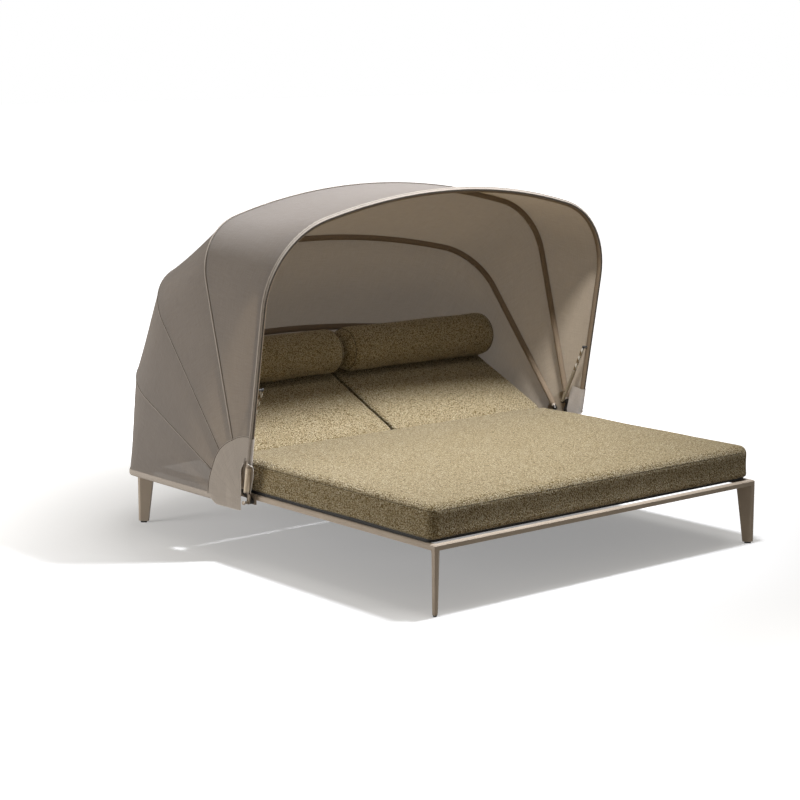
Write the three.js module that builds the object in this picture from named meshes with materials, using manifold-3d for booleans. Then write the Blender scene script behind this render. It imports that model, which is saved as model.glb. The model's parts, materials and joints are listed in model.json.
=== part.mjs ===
import * as THREE from 'three';
import { mergeVertices } from 'three/addons/utils/BufferGeometryUtils.js';
import Module from 'manifold-3d';

const wasm = await Module();
wasm.setup();

// Outdoor daybed with a folding canopy. Millimetres; +X is right seen from the foot, +Y the head end, +Z up.

// Gap between pieces that touch, and the reach of a cut past the face that it opens
const fit = 0.3;
const overrun = 20;

// Bed frame: four angle rails with mitred corners
const frameWidth = 1960;
const frameLength = 2195;
const frameTop = 300;
const railHeight = 24;
const railWidth = 44;
const railWall = 24;
const railLedge = 4;
const railChamfer = 5;

// Blade legs on the corner diagonals, and the glides under them
const legTopDepth = 82;
const legFootDepth = 49;
const legTopThickness = 28;
const legFootThickness = 21;
const legFlare = 4;
const legFlareHeight = 14;
const glideHeight = 8;
const glideLength = 31;
const glideWidth = 16;

// Slats of the seat, and the beam that the backrests hinge on
const seatSlatCount = 5;
const seatSlatWidth = 90;
const hingeBeamWidth = 40;
const hingeBeamSetback = 20;
const lugThickness = 8;
const lugRadius = 9;

// Seat pad
const padThickness = 158;
const padCrown = 4;
const padOverhang = 3;
const padFootInset = 20;
const padCorner = 36;
const padEdge = 28;
const padDrawIn = 5;

// Backrests: crease measured from the foot end, and their angles above flat
const creaseFromFoot = 1411;
const hingeBehindCrease = 31;
const restAngle = 24.3;
const backrestLength = 722;
const backrestTubeWidth = 24;
const backrestTubeHeight = 20;
const backrestGap = 8;
const backrestSideGap = 6;
const backrestSlatCount = 3;
const backrestSlatWidth = 60;
const backrestSlatThickness = 6;
const hingeRodRadius = 5;

// Back cushions and bolsters
const backCushionStart = 34;
const backCushionLength = 711;
const backCushionThickness = 145;
const backCushionCrown = 5;
const backCushionGap = 4;
const backCushionCorner = 40;
const backCushionEdge = 24;
const backCushionDrawIn = 4;
const bolsterRadius = 112;
const bolsterLength = 996;
const bolsterGap = 8;
const bolsterUpSlope = 604;
const bolsterDome = 70;
const bolsterSettle = 1.6;

// Prop stays under the backrests, and the toothed racks that they stand over
const stayDrop = 3;
const stayWidth = 100;
const stayBar = 16;
const stayThickness = 8;
const stayPivotRadius = 5;
const stayLugThickness = 6;
const rackWidth = 30;
const rackDepth = 26;
const rackTipGap = 1.5;
const rackToothDepth = 5;
const rackToothPitch = 32;
const rackSetback = 6;

// Canopy pivot, measured from the foot end and the floor, and how far the cloth hangs outside the frame
const pivotFromFoot = 1233;
const pivotHeight = 270.5;
const clothBesideFrame = 65;
const clothThickness = 2;
const bowTubeRadius = 11;
const bowSides = 8;

// Each bow: its lean from upright towards the head, shoulder radius, height of the crown, crown radius,
// and the room between its tube and the cloth, which is wider where the cloth turns more sharply
const bows = {
  front: { lean: -9.75, shoulder: 414, crown: 1392, crownRadius: 2789, room: 0.5 },
  second: { lean: 15, shoulder: 297, crown: 1406, crownRadius: 3058, room: 1 },
  third: { lean: 39.4, shoulder: 298, crown: 1380, crownRadius: 3005, room: 2 },
  rear: { lean: 64.3, shoulder: 367, crown: 1299, crownRadius: 3242, room: 5.6 },
};

// Arms that carry the bows on the pivot pins, stacked outwards from the rail in this order
const armOrder = ['rear', 'third', 'second', 'front'];
const armThickness = 6;
const armGap = 1.5;
const armWidth = 18;
const armEyeRadius = 10;
const armStraight = 190;
const armEnd = 240;
const armPlug = 18;
const frontArmStraight = 36;
const frontArmTurn = 50;
const frontArmEnd = 170;
const socketStart = 57;
const socketEnd = 165;
const socketWall = 2.2;
const hubBracketThickness = 8;
const hubBracketWidth = 28;
const hubBracketDrop = 14;
const pivotPinRadius = 6;
const pivotHeadRadius = 9;
const pivotHeadThickness = 6;

// Cloth: the skirt's hem, the panels' inner edge round the hub, the saddle between bows and the hub flap
const hemHeight = 262;
const hemCorner = 90;
const hemBehindRail = 53;
const hemCrownRadius = 20000;
const hubClearRadius = 130;
const frontPanelStart = 212;
const panelSag = 14;
const skirtSag = 6;
const sleeveWall = 2.3;
const sleeveStart = 210;
const sleeveSeam = 12;
const flapFront = 10;
const flapRear = 275;
const flapBottom = 33;
const flapFrontBottom = 35;
const flapCircle = 150;
const flapRearTop = 60;
const flapRearShare = 1 / 3;
const flapLowShare = 2 / 3;

// Tension cords between the front and the second bow
const cordRadius = 4;
const toggleHeight = 527;
const toggleBall = 8;
const toggleStud = 5;
const toggleReach = 22;
const anchorHeight = 229;
const anchorRadius = 6;

// Values worked out from the sizes above
const halfWidth = frameWidth / 2;
const halfLength = frameLength / 2;
const railBottom = frameTop - railHeight;
const ledgeTop = railBottom + railLedge;
const deckTop = frameTop - fit;
const padBottom = frameTop + fit;
const creaseY = creaseFromFoot - halfLength;
const hingeY = creaseY + hingeBehindCrease;
const backrestBottom = ledgeTop + fit;
const hingeZ = backrestBottom + backrestTubeHeight / 2;
const stayLength = (backrestLength - backrestTubeWidth / 2) / 2;
const pivotY = pivotFromFoot - halfLength;
const clothHalfWidth = halfWidth + clothBesideFrame;
const hemReach = halfLength + hemBehindRail - pivotY;
const degree = Math.PI / 180;

const colours = {
  frame: 0x96897a,
  black: 0x1c1b1a,
  cushion: 0x8f8055,
  cloth: 0x978b7f,
  socket: 0xb7a78f,
  steel: 0x8f9296,
  cord: 0xb9a67c,
};

function finish(colour, roughness, metalness) {
  return new THREE.MeshStandardMaterial({ color: colour, roughness, metalness });
}

const materials = {
  frame: () => finish(colours.frame, 0.45, 0.6),
  black: () => finish(colours.black, 0.5, 0),
  cushion: () => finish(colours.cushion, 0.95, 0),
  cloth: () => finish(colours.cloth, 0.85, 0),
  socket: () => finish(colours.socket, 0.45, 0),
  steel: () => finish(colours.steel, 0.35, 0.9),
  cord: () => finish(colours.cord, 0.8, 0),
};

function piece(name, geometry, material) {
  const mesh = new THREE.Mesh(geometry, material());
  mesh.name = name;
  return mesh;
}

function placed(object, x, y, z) {
  object.position.set(x, y, z);
  return object;
}

// Closed geometry from points and triangles, turned so that its faces point out
function closedGeometry(points, faces) {
  let volume = 0;
  for (const [a, b, c] of faces) {
    volume += points[a].dot(new THREE.Vector3().crossVectors(points[b], points[c]));
  }
  const order = volume < 0 ? faces.map(([a, b, c]) => [a, c, b]) : faces;
  const geometry = new THREE.BufferGeometry().setFromPoints(points);
  geometry.setIndex(order.flat());
  return geometry;
}

// Skin over rings of equal size, closed by a fan at each end
function loft(rings) {
  const count = rings[0].length;
  const points = rings.flat();
  const faces = [];
  for (let i = 0; i + 1 < rings.length; i += 1) {
    for (let j = 0; j < count; j += 1) {
      const a = i * count + j;
      const b = i * count + ((j + 1) % count);
      faces.push([a, b, b + count], [a, b + count, a + count]);
    }
  }
  for (const [ring, turn] of [[0, -1], [rings.length - 1, 1]]) {
    const centre = new THREE.Vector3();
    rings[ring].forEach((point) => centre.addScaledVector(point, 1 / count));
    points.push(centre);
    const hub = points.length - 1;
    for (let j = 0; j < count; j += 1) {
      const a = ring * count + j;
      const b = ring * count + ((j + 1) % count);
      faces.push(turn > 0 ? [a, b, hub] : [b, a, hub]);
    }
  }
  return closedGeometry(points, faces);
}

// Thin solid between an outer and an inner grid of points
function sheetSolid(outer, inner) {
  const rows = outer.length;
  const columns = outer[0].length;
  const points = [...outer.flat(), ...inner.flat()];
  const out = (i, j) => i * columns + j;
  const back = (i, j) => rows * columns + out(i, j);
  const faces = [];
  const quad = (a, b, c, d) => faces.push([a, b, c], [a, c, d]);
  for (let i = 0; i + 1 < rows; i += 1) {
    for (let j = 0; j + 1 < columns; j += 1) {
      quad(out(i, j), out(i + 1, j), out(i + 1, j + 1), out(i, j + 1));
      quad(back(i, j), back(i, j + 1), back(i + 1, j + 1), back(i + 1, j));
    }
  }
  for (let i = 0; i + 1 < rows; i += 1) {
    quad(out(i, 0), back(i, 0), back(i + 1, 0), out(i + 1, 0));
    const last = columns - 1;
    quad(out(i, last), out(i + 1, last), back(i + 1, last), back(i, last));
  }
  for (let j = 0; j + 1 < columns; j += 1) {
    quad(out(0, j), out(0, j + 1), back(0, j + 1), back(0, j));
    const last = rows - 1;
    quad(out(last, j), back(last, j), back(last, j + 1), out(last, j + 1));
  }
  return closedGeometry(points, faces);
}

// Solid of an outline given as [x, y] pairs, centred on z
function plate(outline, thickness) {
  const shape = new THREE.Shape(outline.map(([x, y]) => new THREE.Vector2(x, y)));
  const geometry = new THREE.ExtrudeGeometry(shape, { depth: thickness, bevelEnabled: false });
  return geometry.translate(0, 0, -thickness / 2);
}

function block(x, y, z) {
  return new THREE.BoxGeometry(x, y, z);
}

// Round bar along X
function rod(radius, length, sides = 16) {
  return new THREE.CylinderGeometry(radius, radius, length, sides).rotateZ(Math.PI / 2);
}

function solid(geometry) {
  const bare = geometry.clone();
  bare.deleteAttribute('normal');
  bare.deleteAttribute('uv');
  const merged = mergeVertices(bare);
  const mesh = new wasm.Mesh({
    numProp: 3,
    vertProperties: new Float32Array(merged.attributes.position.array),
    triVerts: new Uint32Array(merged.index.array),
  });
  return new wasm.Manifold(mesh);
}

function shell(body) {
  const mesh = body.getMesh();
  const geometry = new THREE.BufferGeometry();
  geometry.setAttribute('position', new THREE.BufferAttribute(mesh.vertProperties, 3));
  geometry.setIndex(new THREE.BufferAttribute(mesh.triVerts, 1));
  return geometry;
}

function joined(geometries) {
  return geometries.map(solid).reduce((sum, next) => sum.add(next));
}

// Half of a bow's line, base to crown, as places [u, r] across and away from the pivot axis
const clothLineSteps = 4;
const shoulderSteps = 6;
const crownSteps = 8;

function bowHalf(bow, inset, start, lineSteps) {
  const side = clothHalfWidth - inset;
  const shoulder = bow.shoulder - inset;
  const crownRadius = bow.crownRadius - inset;
  const crownCentre = bow.crown - bow.crownRadius;
  const shoulderU = side - shoulder;
  const shoulderR = crownCentre + Math.sqrt((crownRadius - shoulder) ** 2 - shoulderU ** 2);
  const turn = Math.atan2(shoulderR - crownCentre, shoulderU);
  const line = [];
  for (let i = 0; i < lineSteps; i += 1) {
    line.push([side, start + ((shoulderR - start) * i) / lineSteps]);
  }
  for (let i = 0; i < shoulderSteps; i += 1) {
    const angle = (turn * i) / shoulderSteps;
    line.push([shoulderU + shoulder * Math.cos(angle), shoulderR + shoulder * Math.sin(angle)]);
  }
  for (let i = 0; i <= crownSteps; i += 1) {
    const angle = turn + ((Math.PI / 2 - turn) * i) / crownSteps;
    line.push([crownRadius * Math.cos(angle), crownCentre + crownRadius * Math.sin(angle)]);
  }
  line[line.length - 1][0] = 0;
  return line;
}

// Whole line of a bow, left base to right base
function bowLine(bow, inset, start, lineSteps = 1) {
  const half = bowHalf(bow, inset, start, lineSteps);
  const left = half.map(([u, r]) => [-u, r]);
  return [...left, ...half.slice(0, -1).reverse()];
}

// Section swept along a bow's line in its own plane, as rings of points
function sweptRings(line, radius) {
  return line.map(([u, r], i) => {
    const [u0, r0] = line[Math.max(i - 1, 0)];
    const [u1, r1] = line[Math.min(i + 1, line.length - 1)];
    const along = new THREE.Vector3(u1 - u0, 0, r1 - r0).normalize();
    const out = new THREE.Vector3(-along.z, 0, along.x);
    const ring = [];
    for (let k = 0; k < bowSides; k += 1) {
      const angle = (2 * Math.PI * (k + 0.5)) / bowSides;
      const point = new THREE.Vector3(u, 0, r).addScaledVector(out, radius * Math.cos(angle));
      ring.push(point.add(new THREE.Vector3(0, radius * Math.sin(angle), 0)));
    }
    return ring;
  });
}

// Tube with a bore, closed at both ends by a ring
function hoseGeometry(outer, inner) {
  const wrapped = (rings) => rings.map((ring) => [...ring, ring[0]]);
  return dropSeam(sheetSolid(wrapped(outer), wrapped(inner)));
}

// Merges the doubled seam of a wrapped grid and drops the walls that meet there
function dropSeam(geometry) {
  const merged = mergeVertices(geometry);
  const index = Array.from(merged.index.array);
  const seen = new Map();
  for (let i = 0; i < index.length; i += 3) {
    const key = index.slice(i, i + 3).sort((a, b) => a - b).join(' ');
    seen.set(key, (seen.get(key) || 0) + 1);
  }
  const kept = [];
  for (let i = 0; i < index.length; i += 3) {
    const face = index.slice(i, i + 3);
    const key = [...face].sort((a, b) => a - b).join(' ');
    if (seen.get(key) === 1) {
      kept.push(face);
    }
  }
  const place = merged.attributes.position;
  const points = [];
  for (let i = 0; i < place.count; i += 1) {
    points.push(new THREE.Vector3().fromBufferAttribute(place, i));
  }
  return closedGeometry(points, kept);
}

// Angle rail of one side, mitred at both ends; inward is the way from its outer face to the bed
function rail(name, length, inward) {
  const outline = [
    [0, 0],
    [railWidth, 0],
    [railWidth, railLedge],
    [railWall, railLedge],
    [railWall, railHeight],
    [railChamfer, railHeight],
    [0, railHeight - railChamfer],
  ];
  const geometry = plate(outline, length);
  const place = geometry.attributes.position;
  for (let i = 0; i < place.count; i += 1) {
    const end = Math.sign(place.getZ(i));
    place.setZ(i, end * (length / 2 - place.getX(i) - fit));
  }
  const up = new THREE.Vector3(0, 0, 1);
  const along = new THREE.Vector3().crossVectors(inward, up);
  geometry.applyMatrix4(new THREE.Matrix4().makeBasis(inward, up, along));
  const mesh = piece(name, geometry, materials.frame);
  return placed(mesh, -inward.x * halfWidth, -inward.y * halfLength, railBottom);
}

// Section of a blade leg at one height: a right-angled outer corner and two parallel cheeks
function legRing(depth, thickness, height, inX, inY) {
  const half = thickness / 2;
  const corner = half * Math.SQRT2;
  const reach = depth / Math.SQRT2;
  const cheek = half / Math.SQRT2;
  const outline = [
    [0, 0],
    [corner, 0],
    [reach + cheek, reach - cheek],
    [reach - cheek, reach + cheek],
    [0, corner],
  ];
  return outline.map(([x, y]) => new THREE.Vector3(inX * x, inY * y, height));
}

function leg(endName, sideName, inX, inY) {
  const top = railBottom - fit;
  const rings = [
    legRing(legFootDepth, legFootThickness, glideHeight, inX, inY),
    legRing(legTopDepth, legTopThickness, top - legFlareHeight, inX, inY),
    legRing(legTopDepth + legFlare, legTopThickness + legFlare, top, inX, inY),
  ];
  const mesh = piece(`leg_${endName}_${sideName}`, loft(rings), materials.frame);
  return placed(mesh, -inX * halfWidth, -inY * halfLength, 0);
}

// Oblong glide under the middle of the leg's foot
function glide(endName, sideName, inX, inY) {
  const round = glideWidth / 2;
  const straight = glideLength / 2 - round;
  const shape = new THREE.Shape();
  shape.absarc(straight, 0, round, -Math.PI / 2, Math.PI / 2);
  shape.absarc(-straight, 0, round, Math.PI / 2, (3 * Math.PI) / 2);
  const height = glideHeight - fit;
  const geometry = new THREE.ExtrudeGeometry(shape, { depth: height, bevelEnabled: false, curveSegments: 6 });
  geometry.rotateZ(Math.atan2(inY, inX));
  const mesh = piece(`glide_${endName}_${sideName}`, geometry, materials.black);
  const centre = legFootDepth / 2 / Math.SQRT2;
  return placed(mesh, -inX * (halfWidth - centre), -inY * (halfLength - centre), 0);
}

function bedFrame() {
  const group = new THREE.Group();
  group.add(rail('frame_rail_left', frameLength, new THREE.Vector3(1, 0, 0)));
  group.add(rail('frame_rail_right', frameLength, new THREE.Vector3(-1, 0, 0)));
  group.add(rail('frame_rail_foot', frameWidth, new THREE.Vector3(0, 1, 0)));
  group.add(rail('frame_rail_head', frameWidth, new THREE.Vector3(0, -1, 0)));
  for (const [endName, inY] of [['foot', 1], ['head', -1]]) {
    for (const [sideName, inX] of [['left', 1], ['right', -1]]) {
      group.add(leg(endName, sideName, inX, inY));
      group.add(glide(endName, sideName, inX, inY));
    }
  }
  return group;
}

const backrestWidth = halfWidth - railWall - fit - backrestGap / 2 - backrestSideGap;
const backrestCentre = backrestGap / 2 + backrestWidth / 2;
const hingeBeamY = hingeY - hingeBeamSetback - hingeBeamWidth / 2;

// Slats lie on the ledges of the side rails, between the foot rail and the hinge beam
function seatDeck() {
  const group = new THREE.Group();
  const first = -halfLength + railWidth;
  const last = hingeBeamY - hingeBeamWidth / 2;
  const pitch = (last - first) / seatSlatCount;
  const length = 2 * (halfWidth - railWall - fit);
  const height = deckTop - ledgeTop - fit;
  for (let i = 0; i < seatSlatCount; i += 1) {
    const slat = piece(`seat_slat_${i + 1}`, block(length, seatSlatWidth, height), materials.frame);
    group.add(placed(slat, 0, first + pitch * (i + 1 / 2), ledgeTop + fit + height / 2));
  }
  return group;
}

// Cross beam between the side ledges, with a pair of lugs for each backrest's hinge rod
function hingeBeam() {
  const height = deckTop - railBottom;
  const length = 2 * (halfWidth - railWidth - fit);
  const beam = block(length, hingeBeamWidth, height).translate(0, hingeBeamY, railBottom + height / 2);
  const parts = [beam];
  const reach = backrestWidth / 2 - backrestTubeWidth - fit - lugThickness / 2;
  const lugBack = hingeBeamY + hingeBeamWidth / 4;
  for (const side of [-1, 1]) {
    for (const end of [-1, 1]) {
      const x = side * backrestCentre + end * reach;
      const arm = block(lugThickness, hingeY - lugBack, 2 * lugRadius);
      parts.push(arm.translate(x, (hingeY + lugBack) / 2, hingeZ));
      parts.push(rod(lugRadius, lugThickness).translate(x, hingeY, hingeZ));
    }
  }
  const bore = rod(hingeRodRadius + fit, frameWidth).translate(0, hingeY, hingeZ);
  const body = joined(parts).subtract(solid(bore));
  return piece('hinge_beam', shell(body), materials.frame);
}

// Closed outline of a cushion with round corners, pulled in along its sides
const cornerPoints = 4;
const sidePoints = 6;
const leastCornerShare = 0.2;

function cushionOutline(halfX, halfY, corner, drawIn, inset) {
  const x = halfX - inset;
  const y = halfY - inset;
  const round = Math.max(corner - inset, corner * leastCornerShare);
  const outline = [];
  const corners = [[1, 1], [-1, 1], [-1, -1], [1, -1]];
  corners.forEach(([cx, cy], quarter) => {
    for (let i = 0; i < cornerPoints; i += 1) {
      const angle = (quarter + i / (cornerPoints - 1)) * (Math.PI / 2);
      outline.push([cx * (x - round) + round * Math.cos(angle), cy * (y - round) + round * Math.sin(angle)]);
    }
    const [nx, ny] = corners[(quarter + 1) % corners.length];
    const normalAngle = ((quarter + 1) * Math.PI) / 2;
    for (let i = 1; i < sidePoints; i += 1) {
      const share = i / sidePoints;
      const pull = drawIn * Math.sin(Math.PI * share);
      const ax = cx * (x - round) + round * Math.cos(normalAngle);
      const ay = cy * (y - round) + round * Math.sin(normalAngle);
      const bx = nx * (x - round) + round * Math.cos(normalAngle);
      const by = ny * (y - round) + round * Math.sin(normalAngle);
      outline.push([
        ax + (bx - ax) * share - pull * Math.cos(normalAngle),
        ay + (by - ay) * share - pull * Math.sin(normalAngle),
      ]);
    }
  });
  return outline;
}

// Cushion with rolled edges and a crown, lying on z = 0
const edgeSteps = 3;
const crownShares = [0.12, 0.35, 0.7];

function cushion({ halfX, halfY, corner, edge, thickness, crown, drawIn }) {
  const levels = [];
  for (let i = 0; i <= edgeSteps; i += 1) {
    const angle = (Math.PI / 2) * (i / edgeSteps);
    levels.push([edge * (1 - Math.sin(angle)), edge * (1 - Math.cos(angle))]);
  }
  for (let i = edgeSteps; i >= 0; i -= 1) {
    const angle = (Math.PI / 2) * (i / edgeSteps);
    levels.push([edge * (1 - Math.sin(angle)), thickness - edge * (1 - Math.cos(angle))]);
  }
  const depth = Math.min(halfX, halfY) - edge;
  for (const share of crownShares) {
    levels.push([edge + share * depth, thickness + crown * (1 - (1 - share) ** 2)]);
  }
  const rings = levels.map(([inset, z]) => {
    const outline = cushionOutline(halfX, halfY, corner, drawIn, inset);
    return outline.map(([x, y]) => new THREE.Vector3(x, y, z));
  });
  return loft(rings);
}

function seatPad() {
  const length = creaseFromFoot - padFootInset - fit;
  const geometry = cushion({
    halfX: halfWidth + padOverhang,
    halfY: length / 2,
    corner: padCorner,
    edge: padEdge,
    thickness: padThickness,
    crown: padCrown,
    drawIn: padDrawIn,
  });
  const mesh = piece('seat_pad', geometry, materials.cushion);
  return placed(mesh, 0, -halfLength + padFootInset + length / 2, padBottom);
}

// Ladder frame of one backrest, flat in its own frame, with the hinge axis along X through zero
function backrestFrame() {
  const height = backrestTubeHeight;
  const tubeX = backrestWidth / 2 - backrestTubeWidth / 2;
  const parts = [];
  for (const side of [-1, 1]) {
    const tube = block(backrestTubeWidth, backrestLength, height);
    parts.push(tube.translate(side * tubeX, backrestLength / 2, 0));
    parts.push(rod(height / 2, backrestTubeWidth, 20).translate(side * tubeX, 0, 0));
  }
  const inner = 2 * tubeX;
  const slatZ = height / 2 - backrestSlatThickness / 2;
  const headY = backrestLength - backrestTubeWidth / 2;
  parts.push(block(inner, backrestTubeWidth, backrestSlatThickness).translate(0, headY, slatZ));
  const pitch = backrestLength / backrestSlatCount;
  for (let i = 0; i < backrestSlatCount; i += 1) {
    const y = stayLength + (i - (backrestSlatCount - 1) / 2) * pitch;
    parts.push(block(inner, backrestSlatWidth, backrestSlatThickness).translate(0, y, slatZ));
  }
  const lugTop = height / 2;
  const lugBottom = -stayDrop - stayPivotRadius * 2;
  const lugX = stayWidth / 2 + fit + stayLugThickness / 2;
  for (const side of [-1, 1]) {
    const lug = block(stayLugThickness, 2 * stayBar, lugTop - lugBottom);
    parts.push(lug.translate(side * lugX, stayLength, (lugTop + lugBottom) / 2));
  }
  const rodBore = rod(hingeRodRadius + fit, backrestWidth + overrun);
  const stayBore = rod(stayPivotRadius + fit, stayWidth + 4 * stayLugThickness);
  const body = joined(parts).subtract(solid(rodBore));
  return shell(body.subtract(solid(stayBore.translate(0, stayLength, -stayDrop))));
}

// Prop stay: a flat ring with a pivot bar at one end and a foot bar at the other
function stay() {
  const start = -stayPivotRadius;
  const end = stayLength;
  const half = stayWidth / 2;
  const shape = new THREE.Shape();
  shape.moveTo(-half, start).lineTo(half, start).lineTo(half, end).lineTo(-half, end).closePath();
  const hole = new THREE.Path();
  const gap = half - stayBar;
  hole.moveTo(-gap, stayBar).lineTo(-gap, end - stayBar).lineTo(gap, end - stayBar).lineTo(gap, stayBar);
  shape.holes.push(hole.closePath());
  const ring = new THREE.ExtrudeGeometry(shape, { depth: stayThickness, bevelEnabled: false });
  ring.translate(0, 0, -stayThickness / 2);
  const pivotLength = stayWidth + 2 * (stayLugThickness + 2 * fit);
  const pivot = rod(stayPivotRadius, pivotLength);
  const foot = rod(stayPivotRadius, stayWidth).translate(0, stayLength, 0);
  return shell(joined([ring, pivot, foot]));
}

// Toothed rack, fixed under the hinge beam and the head rail, with its teeth just under the stay's foot
function rack(sideName, side) {
  const top = railBottom - fit;
  const front = hingeBeamY - hingeBeamWidth / 2;
  const back = halfLength - railWall;
  const tip = hingeZ - stayDrop - stayPivotRadius - rackTipGap;
  const toothStart = front + hingeBeamWidth + rackSetback;
  const toothEnd = halfLength - railWidth - rackSetback;
  const outline = [[front, top - rackDepth], [back, top - rackDepth], [back, top], [toothEnd, top], [toothEnd, tip]];
  const count = Math.floor((toothEnd - toothStart) / rackToothPitch);
  for (let i = count; i > 0; i -= 1) {
    const y = toothStart + i * rackToothPitch;
    outline.push([y, tip], [y - rackToothPitch / 4, tip - rackToothDepth]);
  }
  outline.push([toothStart, tip], [toothStart, top], [front, top]);
  const geometry = plate(outline, rackWidth);
  geometry.applyMatrix4(new THREE.Matrix4().makeBasis(
    new THREE.Vector3(0, 1, 0),
    new THREE.Vector3(0, 0, 1),
    new THREE.Vector3(1, 0, 0),
  ));
  return placed(piece(`stay_rack_${sideName}`, geometry, materials.frame), side * backrestCentre, 0, 0);
}

// Bolster: a roll along X with domed ends
function bolster() {
  const half = bolsterLength / 2;
  const steps = 4;
  const profile = [new THREE.Vector2(0, -half)];
  for (const end of [-1, 1]) {
    for (let i = 0; i <= steps; i += 1) {
      const share = end < 0 ? i / steps : 1 - i / steps;
      const angle = (Math.PI / 2) * share;
      const radius = bolsterRadius - bolsterDome * (1 - Math.sin(angle));
      profile.push(new THREE.Vector2(radius, end * (half - bolsterDome * (1 - Math.cos(angle)) - fit)));
    }
  }
  profile.push(new THREE.Vector2(0, half));
  return new THREE.LatheGeometry(profile, 20).rotateZ(-Math.PI / 2);
}

// One backrest with all that it carries, raised to its resting angle
function backrest(sideName, side) {
  const group = new THREE.Group();
  group.add(piece(`backrest_frame_${sideName}`, backrestFrame(), materials.frame));
  const top = backrestTubeHeight / 2 + fit;
  const halfX = (halfWidth + padOverhang - backCushionGap / 2) / 2;
  const cushionX = side * (backCushionGap / 2 + halfX - backrestCentre);
  const geometry = cushion({
    halfX,
    halfY: backCushionLength / 2,
    corner: backCushionCorner,
    edge: backCushionEdge,
    thickness: backCushionThickness,
    crown: backCushionCrown,
    drawIn: backCushionDrawIn,
  });
  const pad = piece(`back_cushion_${sideName}`, geometry, materials.cushion);
  group.add(placed(pad, cushionX, backCushionStart + backCushionLength / 2, top));
  const roll = piece(`bolster_${sideName}`, bolster(), materials.cushion);
  const rollZ = top + backCushionThickness + backCushionCrown - bolsterSettle + bolsterRadius;
  const rollX = side * (bolsterGap / 2 + bolsterLength / 2 - backrestCentre);
  group.add(placed(roll, rollX, bolsterUpSlope, rollZ));
  const prop = piece(`backrest_stay_${sideName}`, stay(), materials.steel);
  prop.rotation.x = -2 * restAngle * degree;
  group.add(placed(prop, 0, stayLength, -stayDrop));
  group.rotation.x = restAngle * degree;
  return placed(group, side * backrestCentre, hingeY, hingeZ);
}

function hingeRod(sideName, side) {
  const mesh = piece(`backrest_hinge_rod_${sideName}`, rod(hingeRodRadius, backrestWidth), materials.steel);
  return placed(mesh, side * backrestCentre, hingeY, hingeZ);
}

// How far a bow's tube lies inside the line of the cloth, and from the middle of the bed at its foot
function tubeInset(bowName) {
  return bowTubeRadius + clothThickness + bows[bowName].room;
}

function tubeOffset(bowName) {
  return clothHalfWidth - tubeInset(bowName);
}

// Inner X of each arm in the stack on the pivot pin
function armPlace(bowName) {
  const first = halfWidth + fit + hubBracketThickness + armGap;
  return first + armOrder.indexOf(bowName) * (armThickness + armGap);
}

// Arm of one bow, in the bow's own plane: eye, strap, sideways jog and the plug that the tube meets
function bowArm(bowName, side) {
  const front = bowName === 'front';
  const near = armPlace(bowName);
  const far = near + armThickness;
  const straight = front ? frontArmStraight : armStraight;
  const turned = front ? frontArmTurn : armEnd - armPlug;
  const half = armThickness / 2;
  const foot = tubeOffset(bowName);
  const outline = [
    [near, 0],
    [far, 0],
    [far, straight],
    [foot + half, turned],
    [foot + half, turned + armPlug / 4],
    [foot - half, turned + armPlug / 4],
    [foot - half, turned],
    [near, straight],
  ];
  const strap = plate(outline.map(([x, r]) => [side * x, r]), armWidth).rotateX(Math.PI / 2);
  const middle = side * (near + half);
  const eye = rod(armEyeRadius, armThickness, 20).translate(middle, 0, 0);
  const parts = [strap, eye];
  if (front) {
    parts.push(post(bowTubeRadius, turned, frontArmEnd, side * foot));
    parts.push(post(bowTubeRadius + socketWall, turned, socketStart - fit, side * foot));
    parts.push(post(bowTubeRadius + socketWall, socketEnd + fit, frontArmEnd, side * foot));
  } else {
    parts.push(post(bowTubeRadius, turned, armEnd, side * foot));
  }
  if (bowName === 'second') {
    parts.push(cordAnchor(side));
  }
  const bore = rod(pivotPinRadius + fit, armThickness + overrun, 20).translate(middle, 0, 0);
  const body = joined(parts).subtract(solid(bore));
  const sideName = side < 0 ? 'left' : 'right';
  return piece(`bow_arm_${bowName}_${sideName}`, shell(body), front ? materials.black : materials.steel);
}

// Cylinder on the line of a bow's foot, between two distances from the pivot
function post(radius, low, high, x) {
  const geometry = new THREE.CylinderGeometry(radius, radius, high - low, 16).rotateX(Math.PI / 2);
  return geometry.translate(x, 0, (low + high) / 2);
}

// Sleeve socket round the foot of the front bow
function bowSocket(sideName, side) {
  const x = side * tubeOffset('front');
  const outer = solid(post(bowTubeRadius + socketWall, socketStart, socketEnd, x));
  const inner = solid(post(bowTubeRadius + fit, socketStart - overrun, socketEnd + overrun, x));
  return piece(`bow_socket_${sideName}`, shell(outer.subtract(inner)), materials.socket);
}

// Tube of one bow, from the end of one arm to the end of the other
function bowTube(bowName) {
  const start = (bowName === 'front' ? frontArmEnd : armEnd) + fit;
  const line = bowLine(bows[bowName], tubeInset(bowName), start);
  return piece(`canopy_bow_${bowName}`, loft(sweptRings(line, bowTubeRadius)), materials.frame);
}

// Cloth sleeve sewn round the front bow
function frontSleeve() {
  const line = bowLine(bows.front, tubeInset('front'), sleeveStart);
  const inner = sweptRings(line, bowTubeRadius + fit);
  const outer = sweptRings(line, bowTubeRadius + sleeveWall);
  return piece('canopy_front_sleeve', hoseGeometry(outer, inner), materials.cloth);
}

// X of the front bow's inner face at its sleeve
function toggleFace() {
  return tubeOffset('front') - bowTubeRadius - sleeveWall - fit;
}

// Ball and stud that hold a tension cord on the front bow
function cordToggle(sideName, side) {
  const face = toggleFace();
  const stud = rod(toggleStud, toggleReach, 12).translate(side * (face - toggleReach / 2), 0, toggleHeight);
  const ball = new THREE.SphereGeometry(toggleBall, 14, 8);
  ball.translate(side * (face - toggleReach), 0, toggleHeight);
  return piece(`cord_toggle_${sideName}`, shell(joined([stud, ball])), materials.black);
}

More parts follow.
